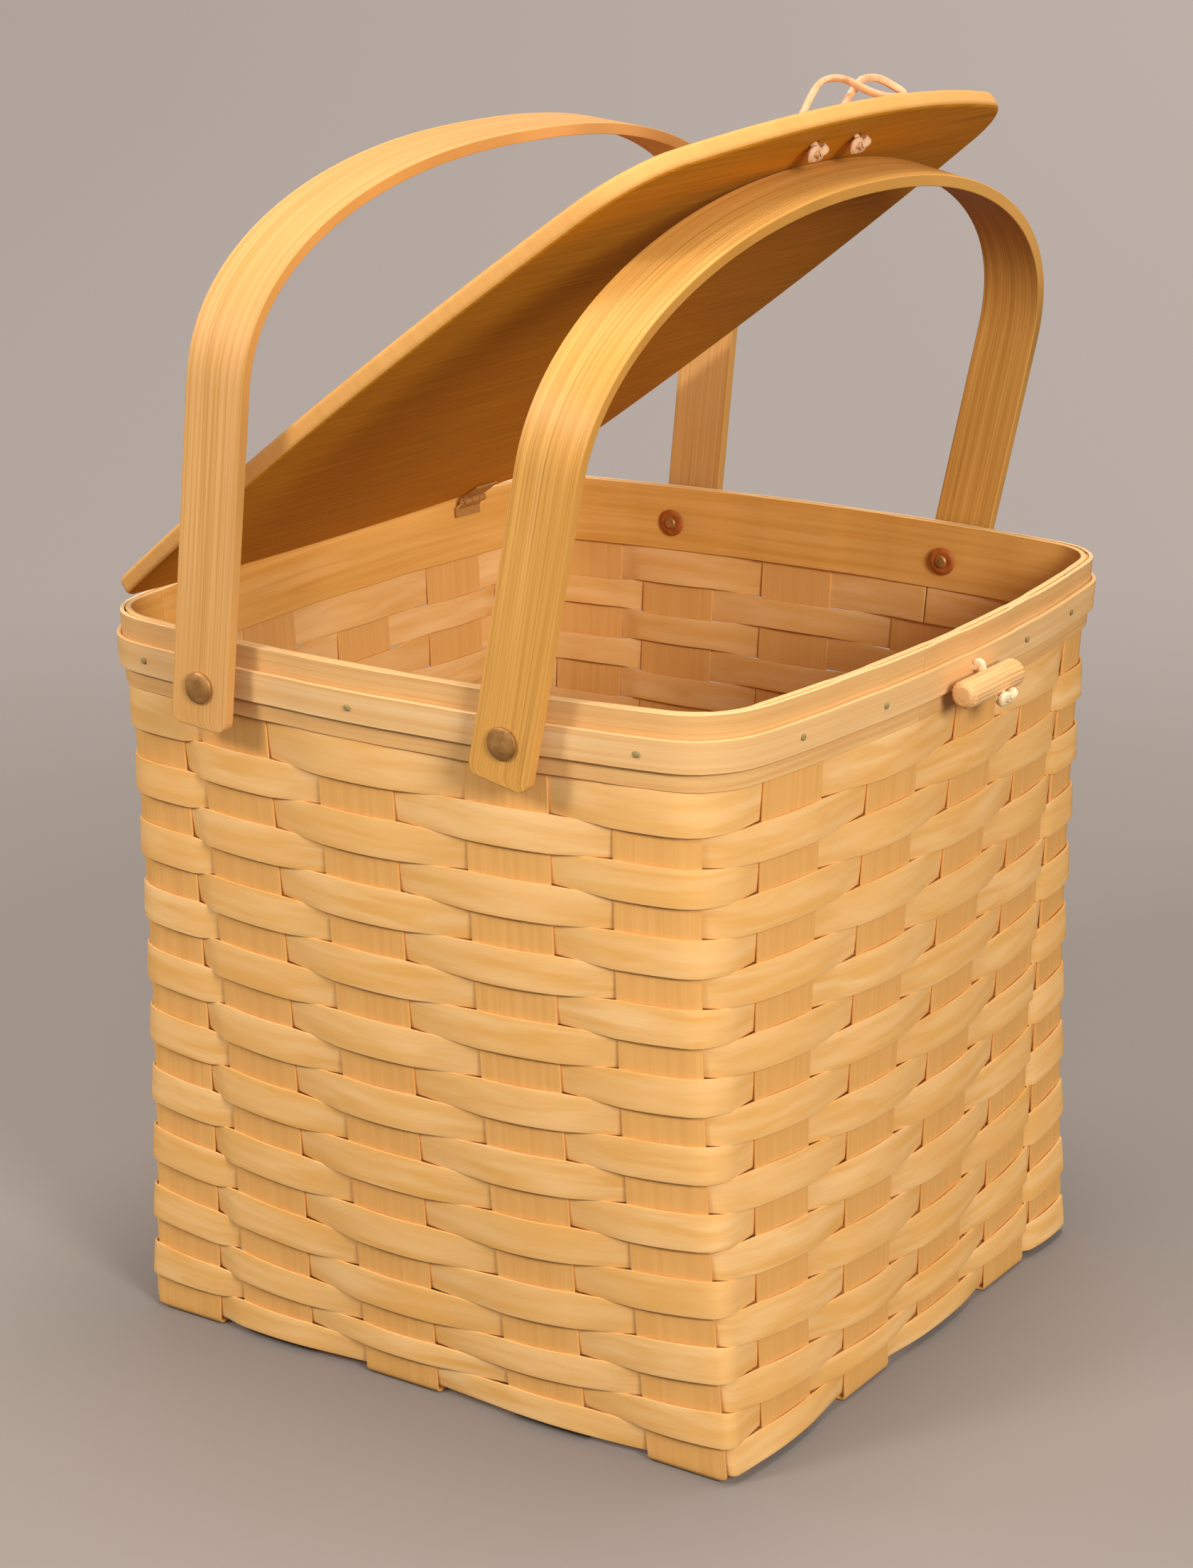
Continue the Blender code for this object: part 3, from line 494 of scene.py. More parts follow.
# The rim holds the weave together: a stout inner band, a thin outer band as tall, and a narrow
# band nailed over that. All are steamed ash, bent round the basket with their ends butted.
RIM_BAND_HEIGHT = 0.0242
RIM_LOW = HEIGHT - RIM_BAND_HEIGHT
INNER_THICK = 0.0020
OUTER_THICK = 0.0014
NAILED_THICK = 0.0016
INNER_OFF = -WEAVE - SPLINT_THICK / 2 - GAP - INNER_THICK / 2
OUTER_OFF = -WEAVE + SPLINT_THICK / 2 + GAP + OUTER_THICK / 2
NAILED_OFF = OUTER_OFF + OUTER_THICK / 2 + GAP + NAILED_THICK / 2
NAILED_LOW = 0.2369
NAILED_HIGH = 0.2474
PINCH = 0.006
# Steamed ash, planed: long close lines, and a painted highlight along the upper edge
ash_outer = split_wood(
    "steamed_ash_outer_band", ("#E2B476", "#D7A264", "#B07A3A"), (160, 0.6),
    veins=0.2, clouds=0.4, rough=0.52, painted_highlight=RIM_BAND_HEIGHT,
)
# A paler strip of the same, which sets the narrow band off from the one behind it
ash_nailed = split_wood(
    "steamed_ash_nailed_band", ("#E9C08A", "#DCAA6C", "#B88448"), (180, 0.8),
    veins=0.14, clouds=0.45, rough=0.52,
)
# Heavier ash with broad, soft figure, in a deeper yellow that is partly its own and partly painted warm
# light of the basket's inside, with a painted highlight along its upper edge
ash_inner = split_wood(
    "steamed_ash_inner_band", ("#E8B064", "#D99C48", "#A06A28"), (90, 1.3),
    veins=0.1, clouds=0.5, relief=0.08, painted_highlight=RIM_BAND_HEIGHT,
)


def pinch(z, side, s):
    """0 over an upright's end, and 1 where nothing stands between the inner and the outer band."""
    ends = [splint_edges(z, side, share) for _, share in splints_of(side)]
    away = min(max(low - s, s - high) for low, high in ends)
    t = max(0, min(1, away / PINCH))
    return t * t * (3 - 2 * t)


def band(name, low, high, thick, out, give, joint_side, joint_share, number, ease, rounds):
    """A hoop whose two ends meet at a side's joint_share. give is how far it moves where it is pinched."""
    half = 32
    places = []
    for side in range(4):
        places += [(side, (i - half) / half) for i in range(2 * half)]
    start = next(i for i, place in enumerate(places) if place >= (joint_side, joint_share))
    places = places[start:] + places[:start]
    rows = []
    for side, share in places + [places[0]]:
        off = out + give * pinch(high, side, share * reach(high, side))
        rows.append([wall(z, side, share * reach(z, side), off) for z in spread(low, high, 2)])
    for end, beside in ((0, 1), (-1, -2)):
        rows[end] = [p.lerp(q, 0.04) for p, q in zip(rows[end], rows[beside])]
    return strip(name, rows, thick, number, ease, rounds)


# Each band's lower and upper edge, thickness, distance off the surface, give, and place of its joint
INNER = (RIM_LOW, HEIGHT, INNER_THICK, INNER_OFF + GAP, 0.0004, LEFT, 0.776)
OUTER = (RIM_LOW, HEIGHT, OUTER_THICK, OUTER_OFF - GAP, -0.0004, RIGHT, -0.2085)
NAILED = (NAILED_LOW, NAILED_HIGH, NAILED_THICK, NAILED_OFF - 0.0004, -0.0003, BACK, 0.4)
for name, node, wood, slot, shape, number, ease in (
    ("inner_band", "inner_rim_band", ash_inner, "rim_wood", INNER, 60, 0.0003),
    ("outer_band", "outer_rim_band", ash_outer, "rim_wood", OUTER, 60, 0.0002),
    ("nailed_band", "nailed_rim_band", ash_nailed, "nailed_band_wood", NAILED, 61, 0.0004),
):
    piece = band(name, *shape, number, ease, 3)
    piece.data.materials.append(wood)
    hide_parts(node)
    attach(piece, "basket")

# The handles are ash strips 22 mm wide and 4 mm thick, steamed and bent to a flat-topped arch
# with their ends rounded. Each swings on two copper rivets through the rim.
PIVOT_Z = HEIGHT - 0.0134
FRONT_PIVOT_X = 0.0534
REAR_PIVOT_X = -0.0620
FRONT_LEAN = 11.3
REAR_LEAN = 5.6
HANDLE_THICK = 0.0040
HANDLE_WIDTH = 0.0221
HANDLE_TAIL = 0.0135
TAIL_CORNER = 0.004
FRONT_HANDLE_HEIGHT = 0.1572
REAR_HANDLE_HEIGHT = 0.1618
# Where each leg roots and where it meets the arch, both from the middle, then the heights of the
# shoulder and the top, and how square the arch is
FRONT_BOW = (0.1438, 0.1450, 0.0845, FRONT_HANDLE_HEIGHT, 2.13)
REAR_BOW = (0.1458, 0.1452, 0.0957, REAR_HANDLE_HEIGHT, 2.29)
# Steamed ash, darkened by hands: fine dark pore lines that run all the way round each bend
ash_rear_handle = split_wood(
    "steamed_ash_rear_handle", ("#DAA668", "#CA9450", "#8C5E26"), (180, 0.36),
    veins=0.4, clouds=0.4, relief=0.2,
)
# Steamed ash of a second strip: smoother, with darker pores, so its grain stands out more
ash_front_handle = split_wood(
    "steamed_ash_front_handle", ("#DFA75A", "#C88E40", "#744A14"), (180, 0.36),
    veins=0.6, clouds=0.35, rough=0.42, relief=0.2,
)


def handle_line(root, top, shoulder, height, power):
    """(distance from the middle, height) along one bow, from tail to tail. The rows are close at the
    tails, where the corners are rounded."""
    straight = 0.012
    leg = [(root, h) for h in (-HANDLE_TAIL, -0.0131, -0.0122, -0.0109, -0.0095, -0.004, 0.004, straight)]
    leg += [(root + (top - root) * t, straight + (shoulder - straight) * t) for t in spread(0, 1, 7)[1:]]
    arch = []
    turns = 72
    for i in range(1, turns):
        angle = math.pi * i / turns
        side = math.copysign(abs(math.cos(angle)) ** (2 / power), math.cos(angle))
        arch.append((top * side, shoulder + math.sin(angle) ** (2 / power) * (height - shoulder)))
    return leg + arch + [(-y, h) for y, h in reversed(leg)]


def handle(name, x, lean, line, number):
    """A bow as a strip of wood, standing over its pivot and leaning forward by an angle in degrees."""
    place = Matrix.Translation((x, 0, PIVOT_Z)) @ Matrix.Rotation(math.radians(lean), 4, "Y")
    half = HANDLE_WIDTH / 2
    rows = []
    for y, h in line:
        up = min(h + HANDLE_TAIL, TAIL_CORNER)
        narrow = TAIL_CORNER - math.sqrt(max(TAIL_CORNER**2 - (TAIL_CORNER - up) ** 2, 0))
        rows.append([place @ Vector((v * (half - narrow), y, h)) for v in (-1, -0.5, 0, 0.5, 1)])
    return strip(name, rows, HANDLE_THICK, number, ease=0.0009, rounds=3)


for name, x, lean, shape, wood, number in (
    ("front_handle", FRONT_PIVOT_X, FRONT_LEAN, FRONT_BOW, ash_front_handle, 60),
    ("rear_handle", REAR_PIVOT_X, REAR_LEAN, REAR_BOW, ash_rear_handle, 61),
):
    piece = handle(f"ash_{name}", x, lean, handle_line(*shape), number)
    piece.data.materials.append(wood)
    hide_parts(name)
    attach(piece, name)

# The lid is one 6.4 mm board of light hardwood, sawn to a bowed outline that follows the rim,
# with its edges sanded round. Two small holes near its front take the leather loop.
LID_AXIS = Vector((-0.1177, 0, HEIGHT - 0.0015))
LID_CLEAR = 0.0018
LID_THICK = 0.0064
LID_LENGTH = 0.2524
LID_HALF_WIDTH = 0.1225
LID_BACK = 0.0044
LID_EASE = 0.0019
# How far the back, the sides and the front bow out, and the radii of the corners
LID_BOWS = (0.0060, 0.0100, 0.0106)
LID_CORNERS = (0.006, 0.032)
HOLE_X = 0.2542
HOLES_Y = (-0.0202, 0.0063)
HOLE_RADIUS = 0.0019


def rest_angle():
    """How far the lid is open where it rests on the front handle."""
    lean = math.radians(FRONT_LEAN)
    top = FRONT_HANDLE_HEIGHT + HANDLE_THICK / 2
    angles = []
    for edge in (-HANDLE_WIDTH / 2, HANDLE_WIDTH / 2):
        x = FRONT_PIVOT_X + top * math.sin(lean) + edge * math.cos(lean) - LID_AXIS.x
        z = PIVOT_Z + top * math.cos(lean) - edge * math.sin(lean) - LID_AXIS.z
        angles.append(math.atan2(z, x) - math.asin((LID_CLEAR - GAP) / math.hypot(x, z)))
    return max(angles)


LID_PLACE = Matrix.Translation(LID_AXIS) @ Matrix.Rotation(-rest_angle(), 4, "Y")


def lid_outline():
    """The lid's outline, in its own axes: x from the hinges to the front. Its sides are shallow bows,
    and each turn is the slope at which a bow meets its corner."""
    length, half = LID_LENGTH, LID_HALF_WIDTH
    back, side, front = LID_BOWS
    back_corner, front_corner = LID_CORNERS
    turn_back = math.atan(2 * back / half)
    turn_front = math.atan(2 * front / (half * 0.8))
    turn_side = math.atan(4 * side / (length * 0.9))
    flat = half - back_corner * (math.cos(turn_side) - math.sin(turn_back))
    points = [(-back * (1 - (i / 12) ** 2), flat * i / 12) for i in range(12)]
    cx, cy = back_corner * math.cos(turn_back), half - back_corner * math.cos(turn_side)
    for angle in spread(turn_back, math.pi / 2 - turn_side, 10):
        points.append((cx - back_corner * math.cos(angle), cy + back_corner * math.sin(angle)))
    side_start = points[-1][0]
    side_end = length - front_corner * (math.cos(turn_front) - math.sin(turn_side))
    for x in spread(side_start, side_end, 24)[1:-1]:
        share = (2 * x - side_start - side_end) / (side_end - side_start)
        points.append((x, half + side * (1 - share**2)))
    cx, cy = length - front_corner * math.cos(turn_front), half - front_corner * math.cos(turn_side)
    for angle in spread(math.pi / 2 - turn_side, turn_front, 14):
        points.append((cx + front_corner * math.cos(angle), cy + front_corner * math.sin(angle)))
    flat = points[-1][1]
    points += [(length + front * (1 - (1 - i / 12) ** 2), flat * (1 - i / 12)) for i in range(1, 13)]
    return points + [(x, -y) for x, y in reversed(points[1:-1])]


def placed_piece(name, bm, place, material):
    """A piece whose mesh is moved to its place, so that its object stays at the origin."""
    bmesh.ops.transform(bm, matrix=place, verts=bm.verts)
    for face in bm.faces:
        face.smooth = True
    piece = linked(name, bm)
    piece.data.set_sharp_from_angle(angle=math.radians(35))
    piece.data.materials.append(material)
    return piece


# Sawn hardwood: the underside is painted a deep orange brown as painted shade, with its grain across the
# lid
board = split_wood(
    "sawn_hardwood_underside_painted_shade", ("#CE8822", "#B87516", "#7E4C08"), (60, 0.6),
    veins=0.25, clouds=0.3, rough=0.52, relief=0.12, shine=0.12,
)
# The sanded edge keeps the board's own tone: an even line round the board, paler than the painted shade
# beneath, with next to no figure
board_edge = split_wood(
    "sanded_board_edge", ("#DCA25A", "#D69B53", "#A8702C"), (14, 1.2),
    veins=0.03, clouds=0.15, rough=0.6,
)
# The upper face of the same board keeps its own lighter tone, free of the painted shade beneath, with fine
# grain that runs straight across
board_top = split_wood(
    "sawn_hardwood_top", ("#DDA45A", "#CF9348", "#8E5A1C"), (60, 0.6),
    veins=0.22, clouds=0.3, relief=0.12,
)
bm = bmesh.new()
outline = [bm.verts.new((LID_BACK + x, y, LID_CLEAR)) for x, y in lid_outline()]
sheet = bm.faces.new(outline)
raised = bmesh.ops.extrude_face_region(bm, geom=[sheet])["geom"]
top = [v for v in raised if isinstance(v, bmesh.types.BMVert)]
bmesh.ops.translate(bm, vec=(0, 0, LID_THICK), verts=top)
bmesh.ops.recalc_face_normals(bm, faces=bm.faces)
level = [e for e in bm.edges if abs(e.verts[0].co.z - e.verts[1].co.z) < 1e-6]
bmesh.ops.bevel(bm, geom=level, offset=LID_EASE, segments=4, profile=0.5, affect="EDGES", material=-1)
for face in bm.faces:
    # Faces that look down take the painted shade; the rounded edges and the top keep the board's own tone
    face.material_index = 1 if abs(face.normal.z) < 0.8 else 2 if face.normal.z > 0 else 0
lid = placed_piece("lid_board", bm, LID_PLACE, board)
lid.data.materials.append(board_edge)
lid.data.materials.append(board_top)
for y in HOLES_Y:
    bm = bmesh.new()
    bmesh.ops.create_cone(
        bm, cap_ends=True, segments=24, radius1=HOLE_RADIUS, radius2=HOLE_RADIUS, depth=0.02
    )
    bmesh.ops.translate(bm, vec=(HOLE_X, y, LID_CLEAR + LID_THICK / 2), verts=bm.verts)
    drill = placed_piece(f"drill_{y}", bm, LID_PLACE, board)
    hole = lid.modifiers.new("lace hole", "BOOLEAN")
    hole.operation = "DIFFERENCE"
    hole.solver = "EXACT"
    hole.object = drill
    bpy.context.view_layer.objects.active = lid
    bpy.ops.object.modifier_apply(modifier=hole.name)
    bpy.data.objects.remove(drill)
lid.data.set_sharp_from_angle(angle=math.radians(35))
grain = lid.data.attributes.new("grain", "FLOAT_VECTOR", "POINT").data
to_board = LID_PLACE.inverted()
for vert in lid.data.vertices:
    place = to_board @ vert.co
    grain[vert.index].vector = (place.y, place.x, 0)
level_faces = lid.modifiers.new("flat faces", "WEIGHTED_NORMAL")
level_faces.keep_sharp = True
level_faces.weight = 100
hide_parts("lid")
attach(lid, "lid")

# Two small butt hinges hold the lid: a leaf on the inner band, a leaf under the lid and a pin
# between. The frame's own hinge parts show, in stamped brass gone dull: a brown yellow with cloudy
# tarnish and hardly a glint.
brass, tree, shader = new_material("stamped_brass", {"Metallic": 0.25, "Roughness": 0.6})
place = add_node(tree, "ShaderNodeTexCoord").outputs["Object"]
# Clouds of tarnish 5.6 mm across
cloudy = {"Vector": place, "Scale": 180.0, "Detail": 3.0}
cloud = add_node(tree, "ShaderNodeTexNoise", cloudy).outputs["Fac"]
tones = {0: cloud, 6: colour("#C48E4C"), 7: colour("#A97838")}
tarnish = add_node(tree, "ShaderNodeMix", tones, data_type="RGBA").outputs[2]
tree.links.new(tarnish, shader.inputs["Base Color"])
for label in ("near", "far"):
    for part in ("rim_leaf", "lid_leaf", "pin"):
        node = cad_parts[f"hinge_{label}_{part}"]
        node.data.materials.clear()
        node.data.materials.append(brass)

# The leather loop is one square-cut, undyed lace. It comes up through one hole, runs over itself
# and goes down the other, with an overhand knot under each.
def undyed_leather(name, face, dark):
    """Vegetable-tanned leather: matt, with a fleshy grain and darker patches. The patches are 6 mm
    long and 2.4 mm wide, and the pits 0.6 mm long and 0.4 mm wide."""
    mat, tree, shader = new_material(name, {"Roughness": 0.75})
    place = add_node(tree, "ShaderNodeAttribute", attribute_name="grain").outputs["Vector"]
    wide = add_node(tree, "ShaderNodeMapping", {"Vector": place, "Scale": (160, 420, 420)}).outputs[0]
    inputs = {"Vector": wide, "Scale": 1.0, "Detail": 3.0}
    patch = add_node(tree, "ShaderNodeTexNoise", inputs).outputs["Fac"]
    inputs = {"Value": patch, "From Min": 0.5, "From Max": 0.8}
    share = add_node(tree, "ShaderNodeMapRange", inputs).outputs[0]
    inputs = {0: share, 6: colour(face), 7: colour(dark)}
    skin = add_node(tree, "ShaderNodeMix", inputs, data_type="RGBA").outputs[2]
    tree.links.new(skin, shader.inputs["Base Color"])
    fine = add_node(tree, "ShaderNodeMapping", {"Vector": place, "Scale": (1800, 2600, 2600)}).outputs[0]
    inputs = {"Vector": fine, "Scale": 1.0, "Detail": 2.0}
    pits = add_node(tree, "ShaderNodeTexNoise", inputs).outputs["Fac"]
    bump = add_node(tree, "ShaderNodeBump", {"Strength": 0.4, "Distance": 0.0003, "Height": pits})
    tree.links.new(bump.outputs[0], shader.inputs["Normal"])
    return mat


# Undyed leather, tanned with bark: a soft pinkish tan that takes no shine
leather = undyed_leather("undyed_lace_leather", "#D9AE84", "#B88250")


def smooth_path(points, steps):
    """A Catmull-Rom line through the points."""
    ends = [2 * points[0] - points[1], *points, 2 * points[-1] - points[-2]]
    line = []
    for a, b, c, d in zip(ends, ends[1:], ends[2:], ends[3:]):
        for i in range(steps):
            t = i / steps
            curve = (2 * a - 5 * b + 4 * c - d) * t**2 + (3 * b - a - 3 * c + d) * t**3
            line.append(0.5 * (2 * b + (c - a) * t + curve))
    return line + [points[-1].copy()]


def lace(name, line, half, material):
    """A square-cut lace along a line of points, closed at its ends and a fifth thinner one way."""
    sides = 16
    square = 4
    normal = Vector((0, 0, 1)).cross(line[1] - line[0])
    if normal.length < 1e-6:
        normal = Vector((1, 0, 0))
    rings = []
    for i, point in enumerate(line):
        ahead = (line[min(i + 1, len(line) - 1)] - line[max(i - 1, 0)]).normalized()
        normal = (normal - ahead * normal.dot(ahead)).normalized()
        beside = ahead.cross(normal)
        ring = []
        for k in range(sides):
            angle = 2 * math.pi * (k + 0.5) / sides
            c, s = math.cos(angle), math.sin(angle)
            r = half / (abs(c) ** square + abs(s) ** square) ** (1 / square)
            ring.append(point + normal * c * r * 0.8 + beside * s * r)
        rings.append(ring)
    bm = bmesh.new()
    bmesh.ops.create_grid(bm, x_segments=sides, y_segments=len(line) - 1, size=1)
    grain = bm.verts.layers.float_vector.new("grain")
    along = [0.0]
    for a, b in zip(line, line[1:]):
        along.append(along[-1] + (b - a).length)
    for vert in bm.verts:
        i = round((vert.co.y + 1) / 2 * (len(line) - 1))
        j = round((vert.co.x + 1) / 2 * sides) % sides
        vert.co = rings[i][j]
        offset = rings[i][j] - line[i]
        vert[grain] = (along[i], offset.x, offset.y)
    bmesh.ops.remove_doubles(bm, verts=bm.verts, dist=1e-7)
    bmesh.ops.holes_fill(bm, edges=[e for e in bm.edges if e.is_boundary])
    bmesh.ops.recalc_face_normals(bm, faces=bm.faces)
    return placed_piece(name, bm, Matrix(), material)


def overhand_knot(name, centre, place, size, half, flat, tail, material):
    """A drawn-up overhand knot with its cut end left loose. size is how far it reaches, half half the
    lace's width, flat how much lower than wide the knot is, and tail the length of the loose end."""
    line = []
    count = 64
    for i in range(count):
        t = 0.35 + (2 * math.pi - 0.5) * i / (count - 1)
        x = math.sin(t) + 2 * math.sin(2 * t)
        y = math.cos(t) - 2 * math.cos(2 * t)
        z = -math.sin(3 * t)
        line.append(Vector((x * size / 3, y * size / 3, z * size / 3 * flat)))
    last = line[-1]
    run = (line[-1] - line[-4]).normalized()
    for step in range(1, 6):
        share = step / 5
        droop = Vector((0.25 * share, 0.5 * share, -0.45 * share * share))
        line.append(last + run * tail * step / 5 * 0.5 + droop * tail * 0.6)
    return lace(name, [place @ (centre + p) for p in line], half, material)


# The lace's thickness as cut, and half of what it measures in use; then the knots' reach, the half
# width of the lace in them and the length of their loose ends
LACE_HALF = 0.0012
KNOT_SIZE = 0.0033
KNOT_LACE = 0.0013
KNOT_TAIL = 0.004
# The loop's line in millimetres: forward of the holes, from the lid's middle to the far side, and up
loop_line = (
    (0, -20.2, -2.3), (0, -20.2, -1.7), (0, -20.2, 0.2), (0, -20.2, 1.3), (0, -20.2, 3.0), (0, -20.2, 8.6),
    (0.3, -18.6, 11.0), (0.8, -14.9, 13.6), (1.1, -7.5, 17.4), (1.4, 0.7, 21.0), (1.5, 7.0, 22.0),
    (1.5, 12.8, 21.8), (1.5, 18.5, 20.2), (1.5, 24.8, 16.5), (1.5, 29.5, 14.4), (1.4, 34.6, 13.0),
    (1.2, 40.0, 12.2), (0.9, 45.2, 12.0), (0.3, 49.0, 12.8), (-0.8, 50.6, 14.6), (-1.7, 49.6, 17.2),
    (-2.1, 46.0, 20.2), (-2.3, 40.9, 21.8), (-2.4, 34.0, 21.6), (-2.4, 26.7, 19.0), (-2.3, 21.0, 16.8),
    (-2.0, 16.0, 14.8), (-1.2, 11.2, 12.6), (-0.4, 7.6, 10.6), (0, 6.3, 8.6),
    (0, 6.3, 3.0), (0, 6.3, 1.3), (0, 6.3, 0.2), (0, 6.3, -1.7), (0, 6.3, -2.3),
)
loop_points = [LID_PLACE @ Vector((HOLE_X + x / 1000, y / 1000, z / 1000)) for x, y, z in loop_line]
path = smooth_path(loop_points, 4)
loop = lace("leather_loop", path, LACE_HALF, leather)
for number, y in enumerate(HOLES_Y, 1):
    centre = Vector((HOLE_X - 0.0010, y, -0.0009))
    sizes = (KNOT_SIZE, KNOT_LACE, 0.7, KNOT_TAIL)
    knot = overhand_knot(f"loop_knot_{number}", centre, LID_PLACE, *sizes, leather)
    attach(knot, "lid")
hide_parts("loop_lace")
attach(loop, "lid")

# Four copper rivets carry the handles. Each head sits outside on the handle, and inside the rim
# the shank is hammered over a copper washer, which the trade calls a burr.
def worn_copper(name, bright, dull, rough, metallic):
    """Copper handled until it is brown: dull in the hollows, brighter where hands rub it. Its clouds
    are 3.3 mm across, and its hammer dents 1.4 mm."""
    mat, tree, shader = new_material(name, {"Metallic": metallic})
    place = add_node(tree, "ShaderNodeTexCoord").outputs["Object"]
    inputs = {"Vector": place, "Scale": 300.0, "Detail": 4.0}
    cloud = add_node(tree, "ShaderNodeTexNoise", inputs).outputs["Fac"]
    inputs = {"Value": cloud, "From Min": 0.3, "From Max": 0.7}
    share = add_node(tree, "ShaderNodeMapRange", inputs).outputs[0]
    inputs = {0: share, 6: colour(dull), 7: colour(bright)}
    skin = add_node(tree, "ShaderNodeMix", inputs, data_type="RGBA").outputs[2]
    tree.links.new(skin, shader.inputs["Base Color"])
    inputs = {"Value": cloud, "To Min": rough + 0.12, "To Max": rough - 0.1}
    rub = add_node(tree, "ShaderNodeMapRange", inputs).outputs[0]
    tree.links.new(rub, shader.inputs["Roughness"])
    inputs = {"Vector": place, "Scale": 700.0, "Detail": 1.0}
    dents = add_node(tree, "ShaderNodeTexNoise", inputs).outputs["Fac"]
    bump = add_node(tree, "ShaderNodeBump", {"Strength": 0.15, "Distance": 0.0004, "Height": dents})
    tree.links.new(bump.outputs[0], shader.inputs["Normal"])
    return mat


def spun(profile, steps):
    """A round mesh from (radius, height) points, spun about its own Z axis."""
    bm = bmesh.new()
    verts = [bm.verts.new((r, 0, h)) for r, h in profile]
    for a, b in zip(verts, verts[1:]):
        bm.edges.new((a, b))
    if profile[0][0] > 0:
        bm.edges.new((verts[-1], verts[0]))
    geom = bm.verts[:] + bm.edges[:]
    bmesh.ops.spin(bm, geom=geom, axis=(0, 0, 1), angle=2 * math.pi, steps=steps, use_merge=True)
    bmesh.ops.remove_doubles(bm, verts=bm.verts, dist=1e-7)
    bmesh.ops.recalc_face_normals(bm, faces=bm.faces)
    return bm


# Hammered copper worn by hands: a brown coin with soft glints where the high spots are rubbed
copper = worn_copper("worn_copper_rivet", "#BE8A4C", "#8C6030", 0.5, 0.5)
# Washers that nobody touches: redder and duller, so they read as orange discs in the shade
burr_copper = worn_copper("worn_copper_burr", "#C46C22", "#9A4E14", 0.6, 0.2)
RIVET_HEAD = 0.0104
HEAD_RISE = 0.0018
SHANK = 0.0020
BORE = SHANK + 0.0002
for title, x in (("front", FRONT_PIVOT_X), ("rear", REAR_PIVOT_X)):
    for label, side in (("near", -1), ("far", 1)):
        head_low, head_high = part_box(f"{title}_rivet_{label}")
        burr_low, burr_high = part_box(f"{title}_burr_{label}")
        ys = sorted(abs(v) for v in (head_low.y, head_high.y))
        burr_ys = sorted(abs(v) for v in (burr_low.y, burr_high.y))
        head_y = ys[1] - HEAD_RISE
        length = head_y - ys[0]
        head = RIVET_HEAD / 2
        dome = [(head * math.sin(a), 0.0006 + 0.0009 * math.cos(a)) for a in spread(0, math.pi / 2, 9)]
        profile = [*dome, (head, 0.00015), (head - 0.00015, 0), (SHANK, 0), (SHANK, 0.0012 - length)]
        profile += [(SHANK * 1.2, 0.0006 - length), (SHANK * 0.9, 0.0001 - length), (0, -length)]
        out = Matrix.Rotation(-side * math.pi / 2, 4, "X")
        place = Matrix.Translation((x, side * head_y, PIVOT_Z)) @ out
        rivet = placed_piece(f"copper_rivet_{title}_{label}", spun(profile, 40), place, copper)
        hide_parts(f"{title}_rivet_{label}")
        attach(rivet, "basket")
        thick = burr_ys[1] - burr_ys[0]
        ring = [(BORE, -thick * 0.75), (0.0036, -thick), (0.0046, -thick * 0.8)]
        ring += [(0.0051, -thick * 0.35), (0.0050, 0), (BORE, 0)]
        place = Matrix.Translation((x, side * burr_ys[1], PIVOT_Z)) @ out
        burr = placed_piece(f"copper_burr_{title}_{label}", spun(ring, 40), place, burr_copper)
        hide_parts(f"{title}_burr_{label}")
        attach(burr, "basket")

# Small round-headed nails fix the narrow band to the rim, three on the near wall and four on the
# toggle's. Their bare metal has gone a dull greenish grey, with no glint.
nail_metal = worn_copper("weathered_nail_metal", "#A4925E", "#867650", 0.75, 0.1)
NAIL_Z = 0.242
NAIL_HEAD = 0.0011
nails = [(FRONT, -0.0966), (FRONT, -0.0082), (FRONT, 0.0931)]
nails += [(RIGHT, -0.0917), (RIGHT, -0.0480), (RIGHT, 0.0479), (RIGHT, 0.0885)]
RIM_OUT = NAILED_OFF + NAILED_THICK / 2
for number, (side, s) in enumerate(nails, 1):
    at = wall(NAIL_Z, side, s, RIM_OUT)
    away = wall(NAIL_Z, side, s, RIM_OUT + 0.01) - at
    rise = wall(NAIL_Z + 0.004, side, s, RIM_OUT) - wall(NAIL_Z - 0.004, side, s, RIM_OUT)
    away = away - rise * away.dot(rise) / rise.length_squared
    place = Matrix.Translation(at) @ away.to_track_quat("Z", "Y").to_matrix().to_4x4()
    profile = [(NAIL_HEAD * math.sin(a), 0.0003 * math.cos(a)) for a in spread(0, math.pi / 2, 6)]
    profile += [(0.001, -0.0004), (0.0006, -0.0005), (0.0006, -0.0032), (0, -0.0033)]
    nail = placed_piece(f"band_nail_{number}", spun(profile, 20), place, nail_metal)
    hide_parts(f"rim_nail_{number}")
    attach(nail, "basket")

# The toggle is a fluted dowel, 9.4 mm across. A leather lace is knotted inside the rim, passes out
# through it, down through the dowel and is knotted again underneath.
HOLE = Vector((0.13145, 0.0065, 0.2425))
PEG = Vector((HOLE.x + 0.0064, 0.005, 0.238))
PEG_HALF = 0.0185
PEG_RADIUS = 0.0047
FLUTES = 18
FLUTE_DEPTH = 0.05
